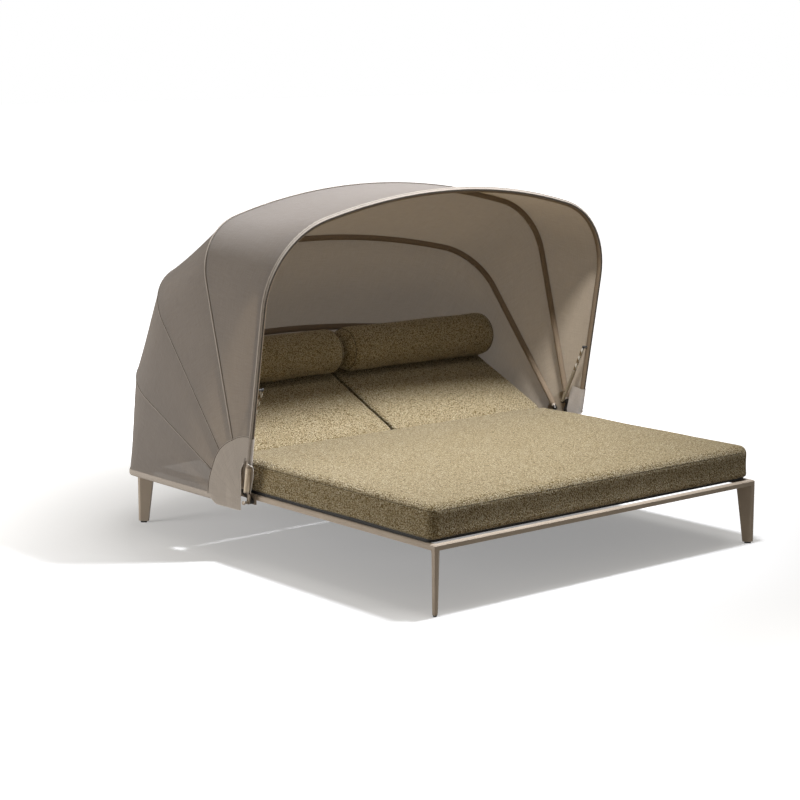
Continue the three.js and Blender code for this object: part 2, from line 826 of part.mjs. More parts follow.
// Stud on the second bow's arm that the cord ends on
function cordAnchor(side) {
  const root = tubeOffset('second');
  const reach = root - toggleFace() + toggleReach + anchorRadius;
  return rod(anchorRadius, reach, 12).translate(side * (root - reach / 2), 0, anchorHeight);
}

function onBow(bowName, u, r) {
  const lean = bows[bowName].lean * degree;
  return new THREE.Vector3(u, pivotY + r * Math.sin(lean), pivotHeight + r * Math.cos(lean));
}

// Straight cord from the ball to the anchor, square to the line between them
function tensionCord(sideName, side) {
  const x = side * (toggleFace() - toggleReach);
  const top = onBow('front', x, toggleHeight);
  const bottom = onBow('second', x, anchorHeight);
  const along = new THREE.Vector3().subVectors(bottom, top).normalize();
  top.addScaledVector(along, toggleBall + fit);
  bottom.addScaledVector(along, -anchorRadius - fit);
  const length = top.distanceTo(bottom);
  const geometry = new THREE.CylinderGeometry(cordRadius, cordRadius, length, 8);
  const mesh = piece(`tension_cord_${sideName}`, geometry, materials.cord);
  mesh.quaternion.setFromUnitVectors(new THREE.Vector3(0, -1, 0), along);
  mesh.position.copy(top.add(bottom).multiplyScalar(1 / 2));
  return mesh;
}

// Everything that swings with one bow
function bowAssembly(bowName) {
  const group = new THREE.Group();
  group.add(bowTube(bowName));
  for (const [sideName, side] of [['left', -1], ['right', 1]]) {
    group.add(bowArm(bowName, side));
    if (bowName === 'front') {
      group.add(bowSocket(sideName, side));
      group.add(cordToggle(sideName, side));
    }
  }
  if (bowName === 'front') {
    group.add(frontSleeve());
  }
  group.rotation.x = -bows[bowName].lean * degree;
  return placed(group, 0, pivotY, pivotHeight);
}

// Edge of the cloth over one bow, and along the hem, as points in the room
function clothEdge(bowName, inset, start) {
  const line = bowLine(bows[bowName], inset, start, clothLineSteps);
  return line.map(([u, r]) => onBow(bowName, u, r));
}

function hemEdge(inset) {
  const hem = { shoulder: hemCorner, crown: hemReach, crownRadius: hemCrownRadius };
  const line = bowLine(hem, inset, hubClearRadius, clothLineSteps);
  return line.map(([u, r]) => new THREE.Vector3(u, pivotY + r, hemHeight));
}

// Grid of points between two edges, saddled towards the pivot where the cloth is free
const panelShares = [0, 0.2, 0.5, 0.8, 1];
const heldShare = 0.25;

function panelGrid(first, second, firstGap, secondGap, sag) {
  const pivot = new THREE.Vector3(0, pivotY, pivotHeight);
  return first.map((start, i) => {
    const end = second[i];
    const along = new THREE.Vector3().subVectors(end, start);
    const length = along.length();
    const crownShare = Math.max(1 - Math.abs(start.x) / clothHalfWidth, 0);
    const free = Math.min(crownShare / heldShare, 1);
    return panelShares.map((share) => {
      const travel = firstGap + share * (length - firstGap - secondGap);
      const point = start.clone().addScaledVector(along, travel / length);
      const inward = new THREE.Vector3().subVectors(pivot, point).setX(0).normalize();
      return point.addScaledVector(inward, sag * free * (4 * share * (1 - share)) ** 2);
    });
  });
}

function clothPanel(name, edges, gaps, sag) {
  const [outer, inner] = [0, clothThickness].map((inset) => {
    const [first, second] = edges(inset);
    return panelGrid(first, second, gaps[0], gaps[1], sag);
  });
  return piece(name, sheetSolid(outer, inner), materials.cloth);
}

function canopyCloth() {
  const group = new THREE.Group();
  const seam = fit / 2;
  group.add(clothPanel('canopy_panel_front', (inset) => [
    clothEdge('front', inset, frontPanelStart),
    clothEdge('second', inset, hubClearRadius),
  ], [sleeveSeam, seam], panelSag));
  group.add(clothPanel('canopy_panel_middle', (inset) => [
    clothEdge('second', inset, hubClearRadius),
    clothEdge('third', inset, hubClearRadius),
  ], [seam, seam], panelSag));
  group.add(clothPanel('canopy_panel_rear', (inset) => [
    clothEdge('third', inset, hubClearRadius),
    clothEdge('rear', inset, hubClearRadius),
  ], [seam, seam], panelSag));
  group.add(clothPanel('canopy_skirt', (inset) => [
    clothEdge('rear', inset, hubClearRadius),
    hemEdge(inset),
  ], [seam, seam], skirtSag));
  return group;
}

// Plate on the outer face of the side rail that carries the pivot pin. Above the deck it stays clear of the pad
function hubBracket(sideName, side) {
  const bottom = Math.min(pivotHeight - hubBracketDrop, deckTop - railHeight);
  const top = Math.max(pivotHeight + hubBracketDrop, deckTop);
  const height = top - bottom;
  const half = hubBracketThickness / 2;
  const body = solid(block(hubBracketThickness, hubBracketWidth, height).translate(0, 0, bottom + height / 2));
  const bore = rod(pivotPinRadius + fit, hubBracketThickness + overrun, 20).translate(0, 0, pivotHeight);
  const padRoom = block(padOverhang + padOverhang, hubBracketWidth + overrun, height);
  padRoom.translate(-side * half, 0, deckTop + height / 2);
  const plateBody = body.subtract(solid(bore)).subtract(solid(padRoom));
  const mesh = piece(`canopy_hub_bracket_${sideName}`, shell(plateBody), materials.frame);
  return placed(mesh, side * (halfWidth + fit + half), pivotY, 0);
}

function pivotPin(sideName, side) {
  const inner = halfWidth + fit;
  const outer = clothHalfWidth;
  const shaft = rod(pivotPinRadius, outer - inner, 20).translate(side * (outer + inner) / 2, 0, 0);
  const headX = side * (outer - pivotHeadThickness / 2);
  const head = rod(pivotHeadRadius, pivotHeadThickness, 20).translate(headX, 0, 0);
  const mesh = piece(`canopy_pivot_pin_${sideName}`, shell(joined([shaft, head])), materials.steel);
  return placed(mesh, 0, pivotY, pivotHeight);
}

// Flap that covers the hub: part of a circle above, a tongue below the rail, straight in front
function hubFlap(sideName, side) {
  const steps = 8;
  const startAngle = Math.acos(flapFront / flapCircle);
  const endAngle = Math.asin(flapRearTop / flapCircle);
  const outline = [[flapFront, -flapFrontBottom]];
  for (let i = 0; i <= steps; i += 1) {
    const angle = startAngle + ((endAngle - startAngle) * i) / steps;
    outline.push([flapCircle * Math.cos(angle), flapCircle * Math.sin(angle)]);
  }
  outline.push([flapRear, flapBottom / 2]);
  outline.push([flapRear, -flapBottom * flapRearShare]);
  outline.push([(flapFront + flapRear) * flapLowShare, -flapBottom]);
  const geometry = plate(outline, clothThickness);
  geometry.applyMatrix4(new THREE.Matrix4().makeBasis(
    new THREE.Vector3(0, 1, 0),
    new THREE.Vector3(0, 0, 1),
    new THREE.Vector3(1, 0, 0),
  ));
  const x = clothHalfWidth + fit + clothThickness / 2;
  return placed(piece(`hub_flap_${sideName}`, geometry, materials.cloth), side * x, pivotY, pivotHeight);
}

function daybed() {
  const group = new THREE.Group();
  group.add(bedFrame(), seatDeck(), hingeBeam(), seatPad());
  for (const [sideName, side] of [['left', -1], ['right', 1]]) {
    group.add(backrest(sideName, side), hingeRod(sideName, side), rack(sideName, side));
    group.add(hubBracket(sideName, side), pivotPin(sideName, side), hubFlap(sideName, side));
    group.add(tensionCord(sideName, side));
  }
  for (const bowName of Object.keys(bows)) {
    group.add(bowAssembly(bowName));
  }
  group.add(canopyCloth());
  return group;
}

// The origin is the middle of the whole outline, on the floor
const model = daybed();
const extent = new THREE.Box3().setFromObject(model, true);
model.position.y = -(extent.min.y + extent.max.y) / 2;

export default model;
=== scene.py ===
import json
from math import atan2, copysign, cos, pi, radians, sin, sqrt

import bpy
from mathutils import Matrix, Vector, noise
from mathutils.bvhtree import BVHTree


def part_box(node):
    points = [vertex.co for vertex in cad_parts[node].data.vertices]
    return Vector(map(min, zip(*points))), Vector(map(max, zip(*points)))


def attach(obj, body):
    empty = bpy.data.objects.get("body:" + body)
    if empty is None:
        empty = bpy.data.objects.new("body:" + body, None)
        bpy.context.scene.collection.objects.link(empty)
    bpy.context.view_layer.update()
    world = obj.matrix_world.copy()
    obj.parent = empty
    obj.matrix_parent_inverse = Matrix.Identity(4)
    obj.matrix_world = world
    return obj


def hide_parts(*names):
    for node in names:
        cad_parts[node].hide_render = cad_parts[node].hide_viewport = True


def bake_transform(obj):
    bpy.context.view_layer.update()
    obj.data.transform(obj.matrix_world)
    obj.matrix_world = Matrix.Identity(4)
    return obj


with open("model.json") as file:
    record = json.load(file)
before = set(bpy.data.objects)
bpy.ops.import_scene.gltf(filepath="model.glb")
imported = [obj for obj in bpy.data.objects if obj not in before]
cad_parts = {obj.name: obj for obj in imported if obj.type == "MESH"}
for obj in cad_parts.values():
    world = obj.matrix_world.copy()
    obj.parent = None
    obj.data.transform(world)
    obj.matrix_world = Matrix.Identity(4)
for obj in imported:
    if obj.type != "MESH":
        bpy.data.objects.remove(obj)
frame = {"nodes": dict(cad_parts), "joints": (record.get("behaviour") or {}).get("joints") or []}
nodes = frame["nodes"]
joints = {joint["name"]: joint for joint in frame["joints"]}
scene = bpy.context.scene
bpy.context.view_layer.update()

SIDES = (("left", -1), ("right", 1))

# Canopy: the axis of the pivot pins, the half width of the cloth and each bow, as in the solid model. The hem
# stands with the bows under the name None
PIVOT = Vector(joints["canopy_rear_hinge"]["pos_m"])
CLOTH_HALF = 1.045
CLOTH_THICKNESS = 0.002
HUB_CLEAR = 0.13
FRONT_CLEAR = 0.212
BOWS = {
    "front": {"lean": -9.75, "shoulder": 0.414, "crown": 1.392, "crown_radius": 2.789, "room": 0.0005},
    "second": {"lean": 15.0, "shoulder": 0.297, "crown": 1.406, "crown_radius": 3.058, "room": 0.001},
    "third": {"lean": 39.4, "shoulder": 0.298, "crown": 1.38, "crown_radius": 3.005, "room": 0.002},
    "rear": {"lean": 64.3, "shoulder": 0.367, "crown": 1.299, "crown_radius": 3.242, "room": 0.0056},
}
TUBE_RADIUS = 0.011
HEM_HEIGHT = 0.262
HEM_PAST_RAIL = 0.053
HEM_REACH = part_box("frame_rail_head")[1].y + HEM_PAST_RAIL - PIVOT.y
BOWS[None] = {"lean": 90.0, "shoulder": 0.09, "crown": HEM_REACH, "crown_radius": 20.0}

# Points along a bow's line: on its straight side, its shoulder and half of its crown
FINE = (20, 16, 26)
COARSE = (10, 14, 22)
SLEEVE_STEPS = (16, 18, 30)

# Canopy cloth: points across a panel, the share of its width where it comes free of the side wall, and the
# sideways wave of the side wall with its start and rise from the pivot
PANEL_STEPS = 14
FREE_SHARE = 0.25
WALL_WAVE = 0.0014
WAVE_START = 0.35
WAVE_RISE = 0.12

# Spans of cloth: name, bow at each edge and sag towards the pivot
SPANS = [
    ("front", "front", "second", 0.014),
    ("middle", "second", "third", 0.014),
    ("rear", "third", "rear", 0.014),
    ("skirt", "rear", None, 0.006),
]

# Pocket of tape inside a bow: places (sideways, inward) of its flat edge, its gap to the tube,
# its first angle and turn round the tube in half circles, and where along the bow it starts
TAPE_EDGE = ((0.015, 0.0062), (0.0132, 0.0068))
TAPE_GAP = 0.0012
TAPE_TURN = (0.92, 0.84)
TAPE_START = 0.25
WELT_PROUD = 0.0002

# Sleeve round the front bow: bands by angle, the dark one being painted shade along the front of the tube,
# and stitched lines by angle and radius
SLEEVE_WALL = 0.0023
SLEEVE_START = 0.205
SLEEVE_LINE_START = 0.21
SLEEVE_BANDS = (
    ("light", 42.0, 158.0, 10),
    ("dark", 158.0, 196.0, 4),
    ("inner", 196.0, 402.0, 16),
)
SLEEVE_LINES = (("stitch", 121.0, 0.0008), ("seam", 46.0, 0.0014))

# Hub patches: outer radius at each bow, gaps to the cloth and from patch to patch, the seam, and the slit in
# front, whose mouth runs from its apex down to its foot
PATCH_RADII = {"front": 0.316, "second": 0.289, "third": 0.281, "rear": 0.268, None: 0.273}
PATCH_GAP = 0.0012
PATCH_LAYER = 0.0004
PATCH_STEPS = 12
PATCH_LEVELS = 8
PATCH_SEAM = {"inside": 0.004, "out": 0.0006, "radius": 0.0014}
PATCH_TOE = 0.0125
SLIT_EDGE = 0.0115
SLIT_LEAST = 0.012
SLIT_APEX = {"lean": -5.1, "radius": 0.195}
SLIT_FOOT = {"lean": 4.4, "radius": 0.15}
MOUTH_RADIUS = 0.0015

# Hub flap: its two ends behind the pivot, its top and lower edge from the pivot's height, and its waves
FLAP_ENDS = (0.0125, 0.2725)
FLAP_TOP = 0.012
FLAP_LOW = -0.034
FLAP_SAG = 0.004
FLAP_RISE = 0.03
FLAP_RISE_FROM = 0.72
FLAP_TAIL = 0.28
FLAP_OUT = 0.0034
FLAP_WAVE = 0.0022
FLAP_STEPS = 26
FLAP_LEVELS = 8
FLAP_HEM = 0.0013

# Front pocket round the foot of the front bow, by distance from the pivot
POCKET_FOOT = 0.045
POCKET_TOP = 0.305
POCKET_APEX = 0.195
POCKET_MOUTH = 0.172
POCKET_WRAP = 0.0158
POCKET_STAND = 0.006
POCKET_LEVELS = 22
POCKET_TAIL = 0.05
POCKET_RIPPLE = 0.0016
POCKET_RIM = 0.0017

# Rolled hem of the skirt: half its thickness, half its height and how far its middle lies above the edge
HEM_START = 0.19
HEM_HALF_THICK = 0.0035
HEM_HALF_HIGH = 0.0145
HEM_LIFT = 0.001
HEM_SIDES = 12

# Tension cord: distance of its ball and its anchor from the pivot, and the parts that set it inwards
TOGGLE_R = 0.527
TOGGLE_RADIUS = 0.022
TOGGLE_TRIM = 0.0083
ANCHOR_R = 0.229
ANCHOR_TRIM = 0.0063
BOW_INSET = 0.0135
CORD_CLEAR = 0.0003
CORD_X = CLOTH_HALF - BOW_INSET - TUBE_RADIUS - SLEEVE_WALL - CORD_CLEAR - TOGGLE_RADIUS
CORD_RADIUS = 0.0068
CORD_LOBE = (0.7, 0.48)
CORD_STEPS = 90
CORD_TURNS = 22.0
SLEEVE_SPAN = (0.42, 0.985)
SLEEVE_RINGS = 80
SLEEVE_RADIUS = 0.0088
SLEEVE_WAVE = 0.0008
SLEEVE_WAVE_STEPS = 5

# Backrests: the hinge axis, the resting angle and the frame's half height over the axis
HINGE = Vector(joints["backrest_left_hinge"]["pos_m"])
REST_ANGLE = radians(24.3)
BACKREST_TOP = 0.0103

# Cushions as in the solid model, with the share of the top edge's roll that is left at the rear, and the
# near-black block of painted shade in the gap under the seat pad's cover
PAD = {
    "thickness": 0.158, "corner": 0.042, "edge": 0.042, "low_edge": 0.016,
    "crown": 0.005, "draw_in": 0.0005, "rear": 0.27,
}
PAD_BASE = {"height": 0.0115, "side": 0.014, "foot": 0.024}
BACK = {
    "thickness": 0.145, "corner": 0.04, "edge": 0.022, "low_edge": 0.022,
    "crown": 0.004, "draw_in": 0.0005, "rear": 1.0,
}
BACK_LENGTH = 0.711
BACK_START = 0.034
BACK_INNER = 0.002
BACK_OUTER = 0.983
BOLSTER_RADIUS = 0.112
BOLSTER_LENGTH = 0.996
BOLSTER_DOME = 0.07
BOLSTER_INNER = 0.004
BOLSTER_UP = 0.604
BOLSTER_SETTLE = 0.0016
BOLSTER_SHORT = 0.003
BOLSTER_SEAM = radians(62)
COVER_SHRINK = 0.0025
SIDE_SWELL = 0.004
REAR_FADE = 0.06
SEAM_SIDES = 6

# Camera of the photograph, placed from the canopy pivot
CAMERA_FROM_PIVOT = Vector((-6.25, -7.309, 2.0303))
CAMERA_YAW = radians(39.938)
CAMERA_PITCH = radians(9.91)
CAMERA_LENS = 92.3685

# Key light over the foot of the bed, whose canopy shade falls as in the photograph, a weak sun from above,
# a soft light from the left, and the sky, whose strength grows with height
KEY_PLACE = (0.2, -1.2, 3.25)
KEY_GOAL = (-0.45, 0.3, 0.45)
KEY_RADIUS = 0.21
KEY_CONE = radians(102)
KEY_ENERGY = 76.0
KEY_COLOUR = (0.98, 1.0, 1.05)
TOP_PLACE = (0, 0, 5)
TOP_GOAL = (-0.12, 0.1, 4)
TOP_ENERGY = 0.62
TOP_COLOUR = (1.0, 0.99, 0.97)
TOP_SPREAD = radians(24)
SIDE_PLACE = (-4.2, 1.9, 0.7)
SIDE_GOAL = (-1.0, 0.3, 0.45)
SIDE_ENERGY = 95.0
SIDE_COLOUR = (1.0, 0.98, 0.96)
SIDE_SIZE = 2.4
SKY_LOW = 0.06
SKY_HIGH = 0.35
SKY_FROM = -0.2
SKY_COLOUR = (1.0, 0.935, 0.83)

# Floor: its half size, the glow that grows over a range of distance, and the light that it throws back
FLOOR_HALF = 60.0
FLOOR_GLOW = 0.27
FLOOR_FADE = (1.4, 3.0)
FLOOR_BOUNCE = (0.24, 0.212, 0.175)

# Looks of the cloth: the mesh's period in metres and the cushions' pale fuzz
THREAD_PERIOD = 0.005
BOUCLE_FUZZ = 0.34


# Materials


class Shader:
    """Short way to build the nodes of a material, or of the world."""

    def __init__(self, name, world=False):
        self.material = (bpy.data.worlds if world else bpy.data.materials).new(name)
        self.material.use_nodes = True
        self.tree = self.material.node_tree
        self.tree.nodes.clear()
        self.output = self.tree.nodes.new("ShaderNodeOutputWorld" if world else "ShaderNodeOutputMaterial")

    def node(self, kind, inputs=None, **values):
        made = self.tree.nodes.new("ShaderNode" + kind)
        for key, value in values.items():
            setattr(made, key, value)
        for key, value in (inputs or {}).items():
            socket = made.inputs[key]
            if isinstance(value, bpy.types.NodeSocket):
                self.tree.links.new(value, socket)
            else:
                socket.default_value = value
        return made

    def link(self, out, into):
        self.tree.links.new(out, into)

    def coordinates(self):
        return self.node("TexCoord").outputs["Object"]

    def noise(self, scale, detail=2.0, roughness=0.5, vector=None):
        inputs = {"Scale": scale, "Detail": detail, "Roughness": roughness}
        inputs["Vector"] = vector or self.coordinates()
        return self.node("TexNoise", inputs).outputs["Fac"]

    def ramp(self, value, low, high, colours, middle=None):
        made = self.node("ValToRGB", {"Fac": value})
        stops = made.color_ramp.elements
        stops[0].position, stops[0].color = low, (*colours[0], 1)
        stops[1].position, stops[1].color = high, (*colours[-1], 1)
        if middle is not None:
            extra = stops.new(middle)
            extra.color = (*colours[1], 1)
        return made.outputs["Color"]

    def math(self, operation, a, b=0.5):
        return self.node("Math", {0: a, 1: b}, operation=operation).outputs[0]

    def range(self, value, from_low, from_high, low, high):
        inputs = {"Value": value, "From Min": from_low, "From Max": from_high, "To Min": low, "To Max": high}
        return self.node("MapRange", inputs).outputs[0]

    def spread(self, value, low=0.0, high=1.0):
        """Stretches the middle of a noise over a range."""
        return self.range(value, 0.3, 0.7, low, high)

    def scaled(self, vector, size):
        return self.node("VectorMath", {0: vector, "Scale": size}, operation="SCALE").outputs[0]

    def stretched(self, vector, size):
        return self.node("Mapping", {"Vector": vector, "Scale": size}).outputs[0]

    def mix_shader(self, share, a, b):
        return self.node("MixShader", {0: share, 1: a.outputs[0], 2: b.outputs[0]})

    def surface(self, shader):
        self.link(shader.outputs[0], self.output.inputs["Surface"])

    def background_rays(self):
        """1 for the rays that show the white background: camera, glossy and transmission rays."""
        rays = self.node("LightPath").outputs
        mirrored = self.math("MAXIMUM", rays["Is Glossy Ray"], rays["Is Transmission Ray"])
        return self.math("MAXIMUM", rays["Is Camera Ray"], mirrored)

    def mix(self, factor, a, b):
        made = self.node("Mix", data_type="RGBA")
        for socket, value in ((made.inputs[0], factor), (made.inputs[6], a), (made.inputs[7], b)):
            if isinstance(value, bpy.types.NodeSocket):
                self.link(value, socket)
            else:
                socket.default_value = value if isinstance(value, float) else (*value, 1)
        return made.outputs[2]

    def bump(self, height, distance, strength=1.0):
        inputs = {"Height": height, "Distance": distance, "Strength": strength}
        return self.node("Bump", inputs).outputs["Normal"]

    def principled(self, **inputs):
        names = {key.replace("_", " ").title().replace("Ior", "IOR"): value for key, value in inputs.items()}
        made = self.node("BsdfPrincipled", names)
        self.surface(made)
        return made


def frame_coat():
    """Matt powder coat in the colour of sand."""
    s = Shader("frame_coat")
    fine = s.noise(900.0, 3.0, 0.6)
    broad = s.noise(6.0, 2.0)
    colour = s.mix(s.range(broad, 0.35, 0.65, 0.0, 1.0), (0.43, 0.36, 0.288), (0.468, 0.395, 0.318))
    rough = s.spread(fine, 0.36, 0.5)
    shader = s.principled(base_color=colour, roughness=rough, normal=s.bump(fine, 0.0003, 0.35))
    shader.inputs["Specular IOR Level"].default_value = 0.15
    return s.material


def dark_steel():
    """Dark steel with fine drawn lines along x."""
    s = Shader("dark_steel")
    lines = s.noise(1.0, 2.0, 0.6, s.stretched(s.coordinates(), (40.0, 900.0, 900.0)))
    colour = s.mix(lines, (0.055, 0.05, 0.045), (0.095, 0.088, 0.08))
    rough = s.spread(lines, 0.42, 0.58)
    s.principled(base_color=colour, metallic=1.0, roughness=rough, normal=s.bump(lines, 0.0002, 0.3))
    return s.material


def moulded(name, low, high, roughness):
    """Moulded plastic with a fine grain."""
    s = Shader(name)
    grain = s.noise(1400.0, 2.0, 0.6)
    colour = s.mix(s.spread(s.noise(30.0)), low, high)
    rough = s.spread(grain, roughness - 0.06, roughness + 0.08)
    s.principled(base_color=colour, roughness=rough, normal=s.bump(grain, 0.0002, 0.4))
    return s.material


def boucle():
    """Looped yarn in wavy rows: painted shade makes it dark between the loops, with a pale fuzz at low
    angles.
    """
    s = Shader("cushion_boucle")
    place = s.coordinates()
    drift = s.noise(9.0, 2.0, 0.5, place)
    bend = s.node("TexNoise", {"Vector": place, "Scale": 38.0, "Detail": 2.0}).outputs["Color"]
    warped = s.node("VectorMath", {0: place, 1: s.scaled(bend, 0.016)}, operation="ADD").outputs[0]
    rows = s.stretched(warped, (1.0, 0.62, 1.0))
    loops = s.node("TexVoronoi", {"Vector": rows, "Scale": 205.0, "Randomness": 0.85}, feature="F1")
    loop = s.range(loops.outputs["Distance"], 0.05, 0.72, 1.0, 0.0)
    clump = s.noise(150.0, 2.0, 0.5, rows)
    fibre = s.noise(900.0, 2.0, 0.6, place)
    height = s.math("ADD", s.math("MULTIPLY", loop, 0.8), s.math("MULTIPLY", clump, 0.6))
    # The tone is dark between the loops, painted shade in the hollows of the yarn, and pale on the loops
    tone = s.math("ADD", s.math("MULTIPLY", loop, 0.62), s.math("MULTIPLY", clump, 0.42))
    tone = s.math("ADD", tone, s.spread(fibre, -0.05, 0.05))
    dark, middle, pale = (0.125, 0.086, 0.032), (0.405, 0.33, 0.195), (0.72, 0.665, 0.53)
    colour = s.ramp(tone, 0.24, 0.84, [dark, middle, pale], 0.54)
    colour = s.mix(s.range(drift, 0.35, 0.65, 0.0, 0.1), colour, (0.27, 0.21, 0.1))
    shader = s.principled(base_color=colour, roughness=0.95, normal=s.bump(height, 0.004, 1.0))
    shader.inputs["Sheen Weight"].default_value = BOUCLE_FUZZ
    shader.inputs["Sheen Roughness"].default_value = 0.42
    shader.inputs["Sheen Tint"].default_value = (1.0, 0.95, 0.84, 1)
    shader.inputs["Specular IOR Level"].default_value = 0.12
    return s.material


def mesh_cloth(name, thread, inner_warmth, glow, openness, through):
    """Open mesh cloth: threads along both ways of its UV map, a warmer colour on its inner side that is
    painted warm light inside the canopy, light through it and small holes."""
    s = Shader(name)
    uv = s.node("UVMap").outputs["UV"]
    parts = s.node("SeparateXYZ", {"Vector": uv})
    turns = 2 * pi / THREAD_PERIOD
    warp, weft = (s.math("SINE", s.math("MULTIPLY", parts.outputs[axis], turns), 0.0) for axis in "XY")
    weave = s.math("MULTIPLY", warp, weft)
    slub_sizes = ((12.0, 260.0, 1.0), (260.0, 12.0, 1.0))
    slubs = [s.noise(1.0, 3.0, 0.6, s.stretched(uv, size)) for size in slub_sizes]
    shade = s.math("ADD", *(s.spread(slub, -0.5, 0.5) for slub in slubs))
    level = s.range(s.math("ADD", shade, s.math("MULTIPLY", weave, 0.8)), -1.6, 1.6, 0.8, 1.2)
    # The inner side takes a warmer colour: painted warm light inside the canopy
    outside = s.node("NewGeometry").outputs["Backfacing"]
    colour = s.scaled(s.mix(outside, inner_warmth, thread), level)
    normal = s.bump(s.math("ADD", weave, shade), 0.0004, 0.5)
    cloth = s.node("BsdfDiffuse", {"Color": colour, "Roughness": 0.6, "Normal": normal})
    light = s.node("BsdfTranslucent", {"Color": (*glow, 1)})
    hole = s.range(weave, -1.0, 1.0, openness * 1.5, openness * 0.5)
    clear = s.node("BsdfTransparent")
    s.surface(s.mix_shader(hole, s.mix_shader(through, cloth, light), clear))
    return s.material


def tape(name, colour, other):
    """Close-woven tape and binding."""
    s = Shader(name)
    place = s.coordinates()
    ribs = s.noise(520.0, 2.0, 0.5, place)
    tone = s.mix(s.spread(ribs), colour, other)
    s.principled(base_color=tone, roughness=0.85, normal=s.bump(ribs, 0.0006, 0.6))
    return s.material


def twisted_cord():
    """Two strands, one pale and one gold, wound round each other along the cord's UV map."""
    s = Shader("twisted_cord")
    parts = s.node("SeparateXYZ", {"Vector": s.node("UVMap").outputs["UV"]})
    travelled = s.math("MULTIPLY", parts.outputs["Y"], CORD_TURNS)
    band = s.math("FRACT", s.math("ADD", parts.outputs["X"], travelled), 0.0)
    strand = s.range(band, 0.47, 0.53, 0.0, 1.0)
    fibre = s.noise(900.0, 2.0, 0.6)
    pale = s.mix(s.spread(fibre), (0.6, 0.57, 0.5), (0.8, 0.78, 0.72))
    gold = s.mix(s.spread(fibre), (0.08, 0.05, 0.018), (0.2, 0.135, 0.055))
    s.principled(base_color=s.mix(strand, pale, gold), roughness=0.7, normal=s.bump(fibre, 0.0005, 0.5))
    return s.material


def studio_floor():
    """Floor that looks white to the camera and in mirrors, and throws back less light than it shows."""
    s = Shader("floor_white")
    seen = s.mix(s.noise(0.8), (0.645,) * 3, (0.655,) * 3)
    soft = s.node("BsdfDiffuse", {"Color": seen, "Roughness": 1.0})
    away = s.node("VectorMath", {0: s.coordinates()}, operation="LENGTH").outputs["Value"]
    glow = s.range(away, *FLOOR_FADE, FLOOR_GLOW, 1.0)
    lit = s.node("Emission", {"Color": (1, 1, 1, 1), "Strength": glow})
    bright = s.node("AddShader", {0: soft.outputs[0], 1: lit.outputs[0]})
    dim = s.node("BsdfDiffuse", {"Color": FLOOR_BOUNCE + (1,), "Roughness": 1.0})
    s.surface(s.mix_shader(s.background_rays(), dim, bright))
    return s.material


COAT = frame_coat()
STEEL = dark_steel()
BLACK = moulded("black_plastic", (0.012, 0.012, 0.012), (0.022, 0.021, 0.02), 0.5)
BEIGE = moulded("socket_plastic", (0.56, 0.46, 0.33), (0.62, 0.52, 0.39), 0.42)
BOUCLE = boucle()
# The canopy's inner side is warmer and lighter than its threads: painted warm light inside the canopy
MESH = mesh_cloth(
    "canopy_mesh", thread=(0.335, 0.306, 0.284), inner_warmth=(0.41, 0.338, 0.25),
    glow=(0.5, 0.355, 0.205), openness=0.04, through=0.09,
)
PATCH = mesh_cloth(
    "canopy_patch", thread=(0.575, 0.525, 0.475), inner_warmth=(0.575, 0.525, 0.475),
    glow=(0.44, 0.36, 0.27), openness=0.012, through=0.14,
)
POCKET = tape("bow_pocket", (0.17, 0.122, 0.078), (0.235, 0.175, 0.116))
BINDING = tape("edge_binding", (0.4, 0.352, 0.305), (0.5, 0.445, 0.39))
EDGE = tape("light_edge", (0.62, 0.58, 0.53), (0.72, 0.68, 0.63))
# Near-black band of painted shade along the front of the front sleeve
SHADE_LINE = tape("painted_shade_line", (0.03, 0.022, 0.014), (0.05, 0.038, 0.026))
WELT = tape("seam_welt", (0.1, 0.082, 0.064), (0.15, 0.125, 0.1))
THREAD = tape("cushion_seam", (0.04, 0.03, 0.012), (0.07, 0.054, 0.024))
# Near-black colour of painted shade, for the block in the gap under the seat pad
GAP_SHADE = tape("pad_gap_shade", (0.01, 0.009, 0.008), (0.018, 0.016, 0.014))
CORD = twisted_cord()
SLEEVE = tape("cord_sleeve", (0.24, 0.2, 0.14), (0.33, 0.28, 0.2))

# Raised seams over the bows: part, place sideways, radius and material
WIDE_WELT = (
    ("ridge", 0.0, 0.004, BINDING),
    ("front", -0.0062, 0.0017, WELT),
    ("back", 0.0056, 0.001, WELT),
)
NARROW_WELT = (("ridge", 0.003, 0.0015, BINDING), ("front", 0.0, 0.0018, WELT))


# Mesh helpers


def shares(steps):
    return [i / steps for i in range(steps + 1)]


def add_mesh(name, points, faces, material, uvs=None, smooth=True):
    data = bpy.data.meshes.new(name)
    data.from_pydata([tuple(p) for p in points], [], faces)
    data.validate()
    if uvs is not None:
        layer = data.uv_layers.new(name="UVMap")
        for loop in data.loops:
            layer.data[loop.index].uv = uvs[loop.vertex_index]
    if smooth:
        data.shade_smooth()
    obj = bpy.data.objects.new(name, data)
    scene.collection.objects.link(obj)
    obj.data.materials.append(material)
    return obj


def faces_between(rows, count, ring=True, loop=False):
    """Four-sided faces from each row of points to the next. A ring closes each row, and a loop joins the last
    row to the first."""
    faces = []
    for i in range(rows if loop else rows - 1):
        after = (i + 1) % rows * count
        for j in range(count if ring else count - 1):
            k = (j + 1) % count
            faces.append((i * count + j, i * count + k, after + k, after + j))
    return faces


def grid_mesh(name, rows, material, closed=False):
    """Surface over rows of points of equal length, with a UV map in metres."""
    count = len(rows[0])
    points = [p for row in rows for p in row]
    along = [0.0]
    middle = count // 2
    for before, after in zip(rows, rows[1:]):
        along.append(along[-1] + (after[middle] - before[middle]).length)
    uvs = []
    for row, distance in zip(rows, along):
        across = 0.0
        for j, point in enumerate(row):
            if j:
                across += (point - row[j - 1]).length
            uvs.append((distance, across))
    return add_mesh(name, points, faces_between(len(rows), count, ring=closed), material, uvs)


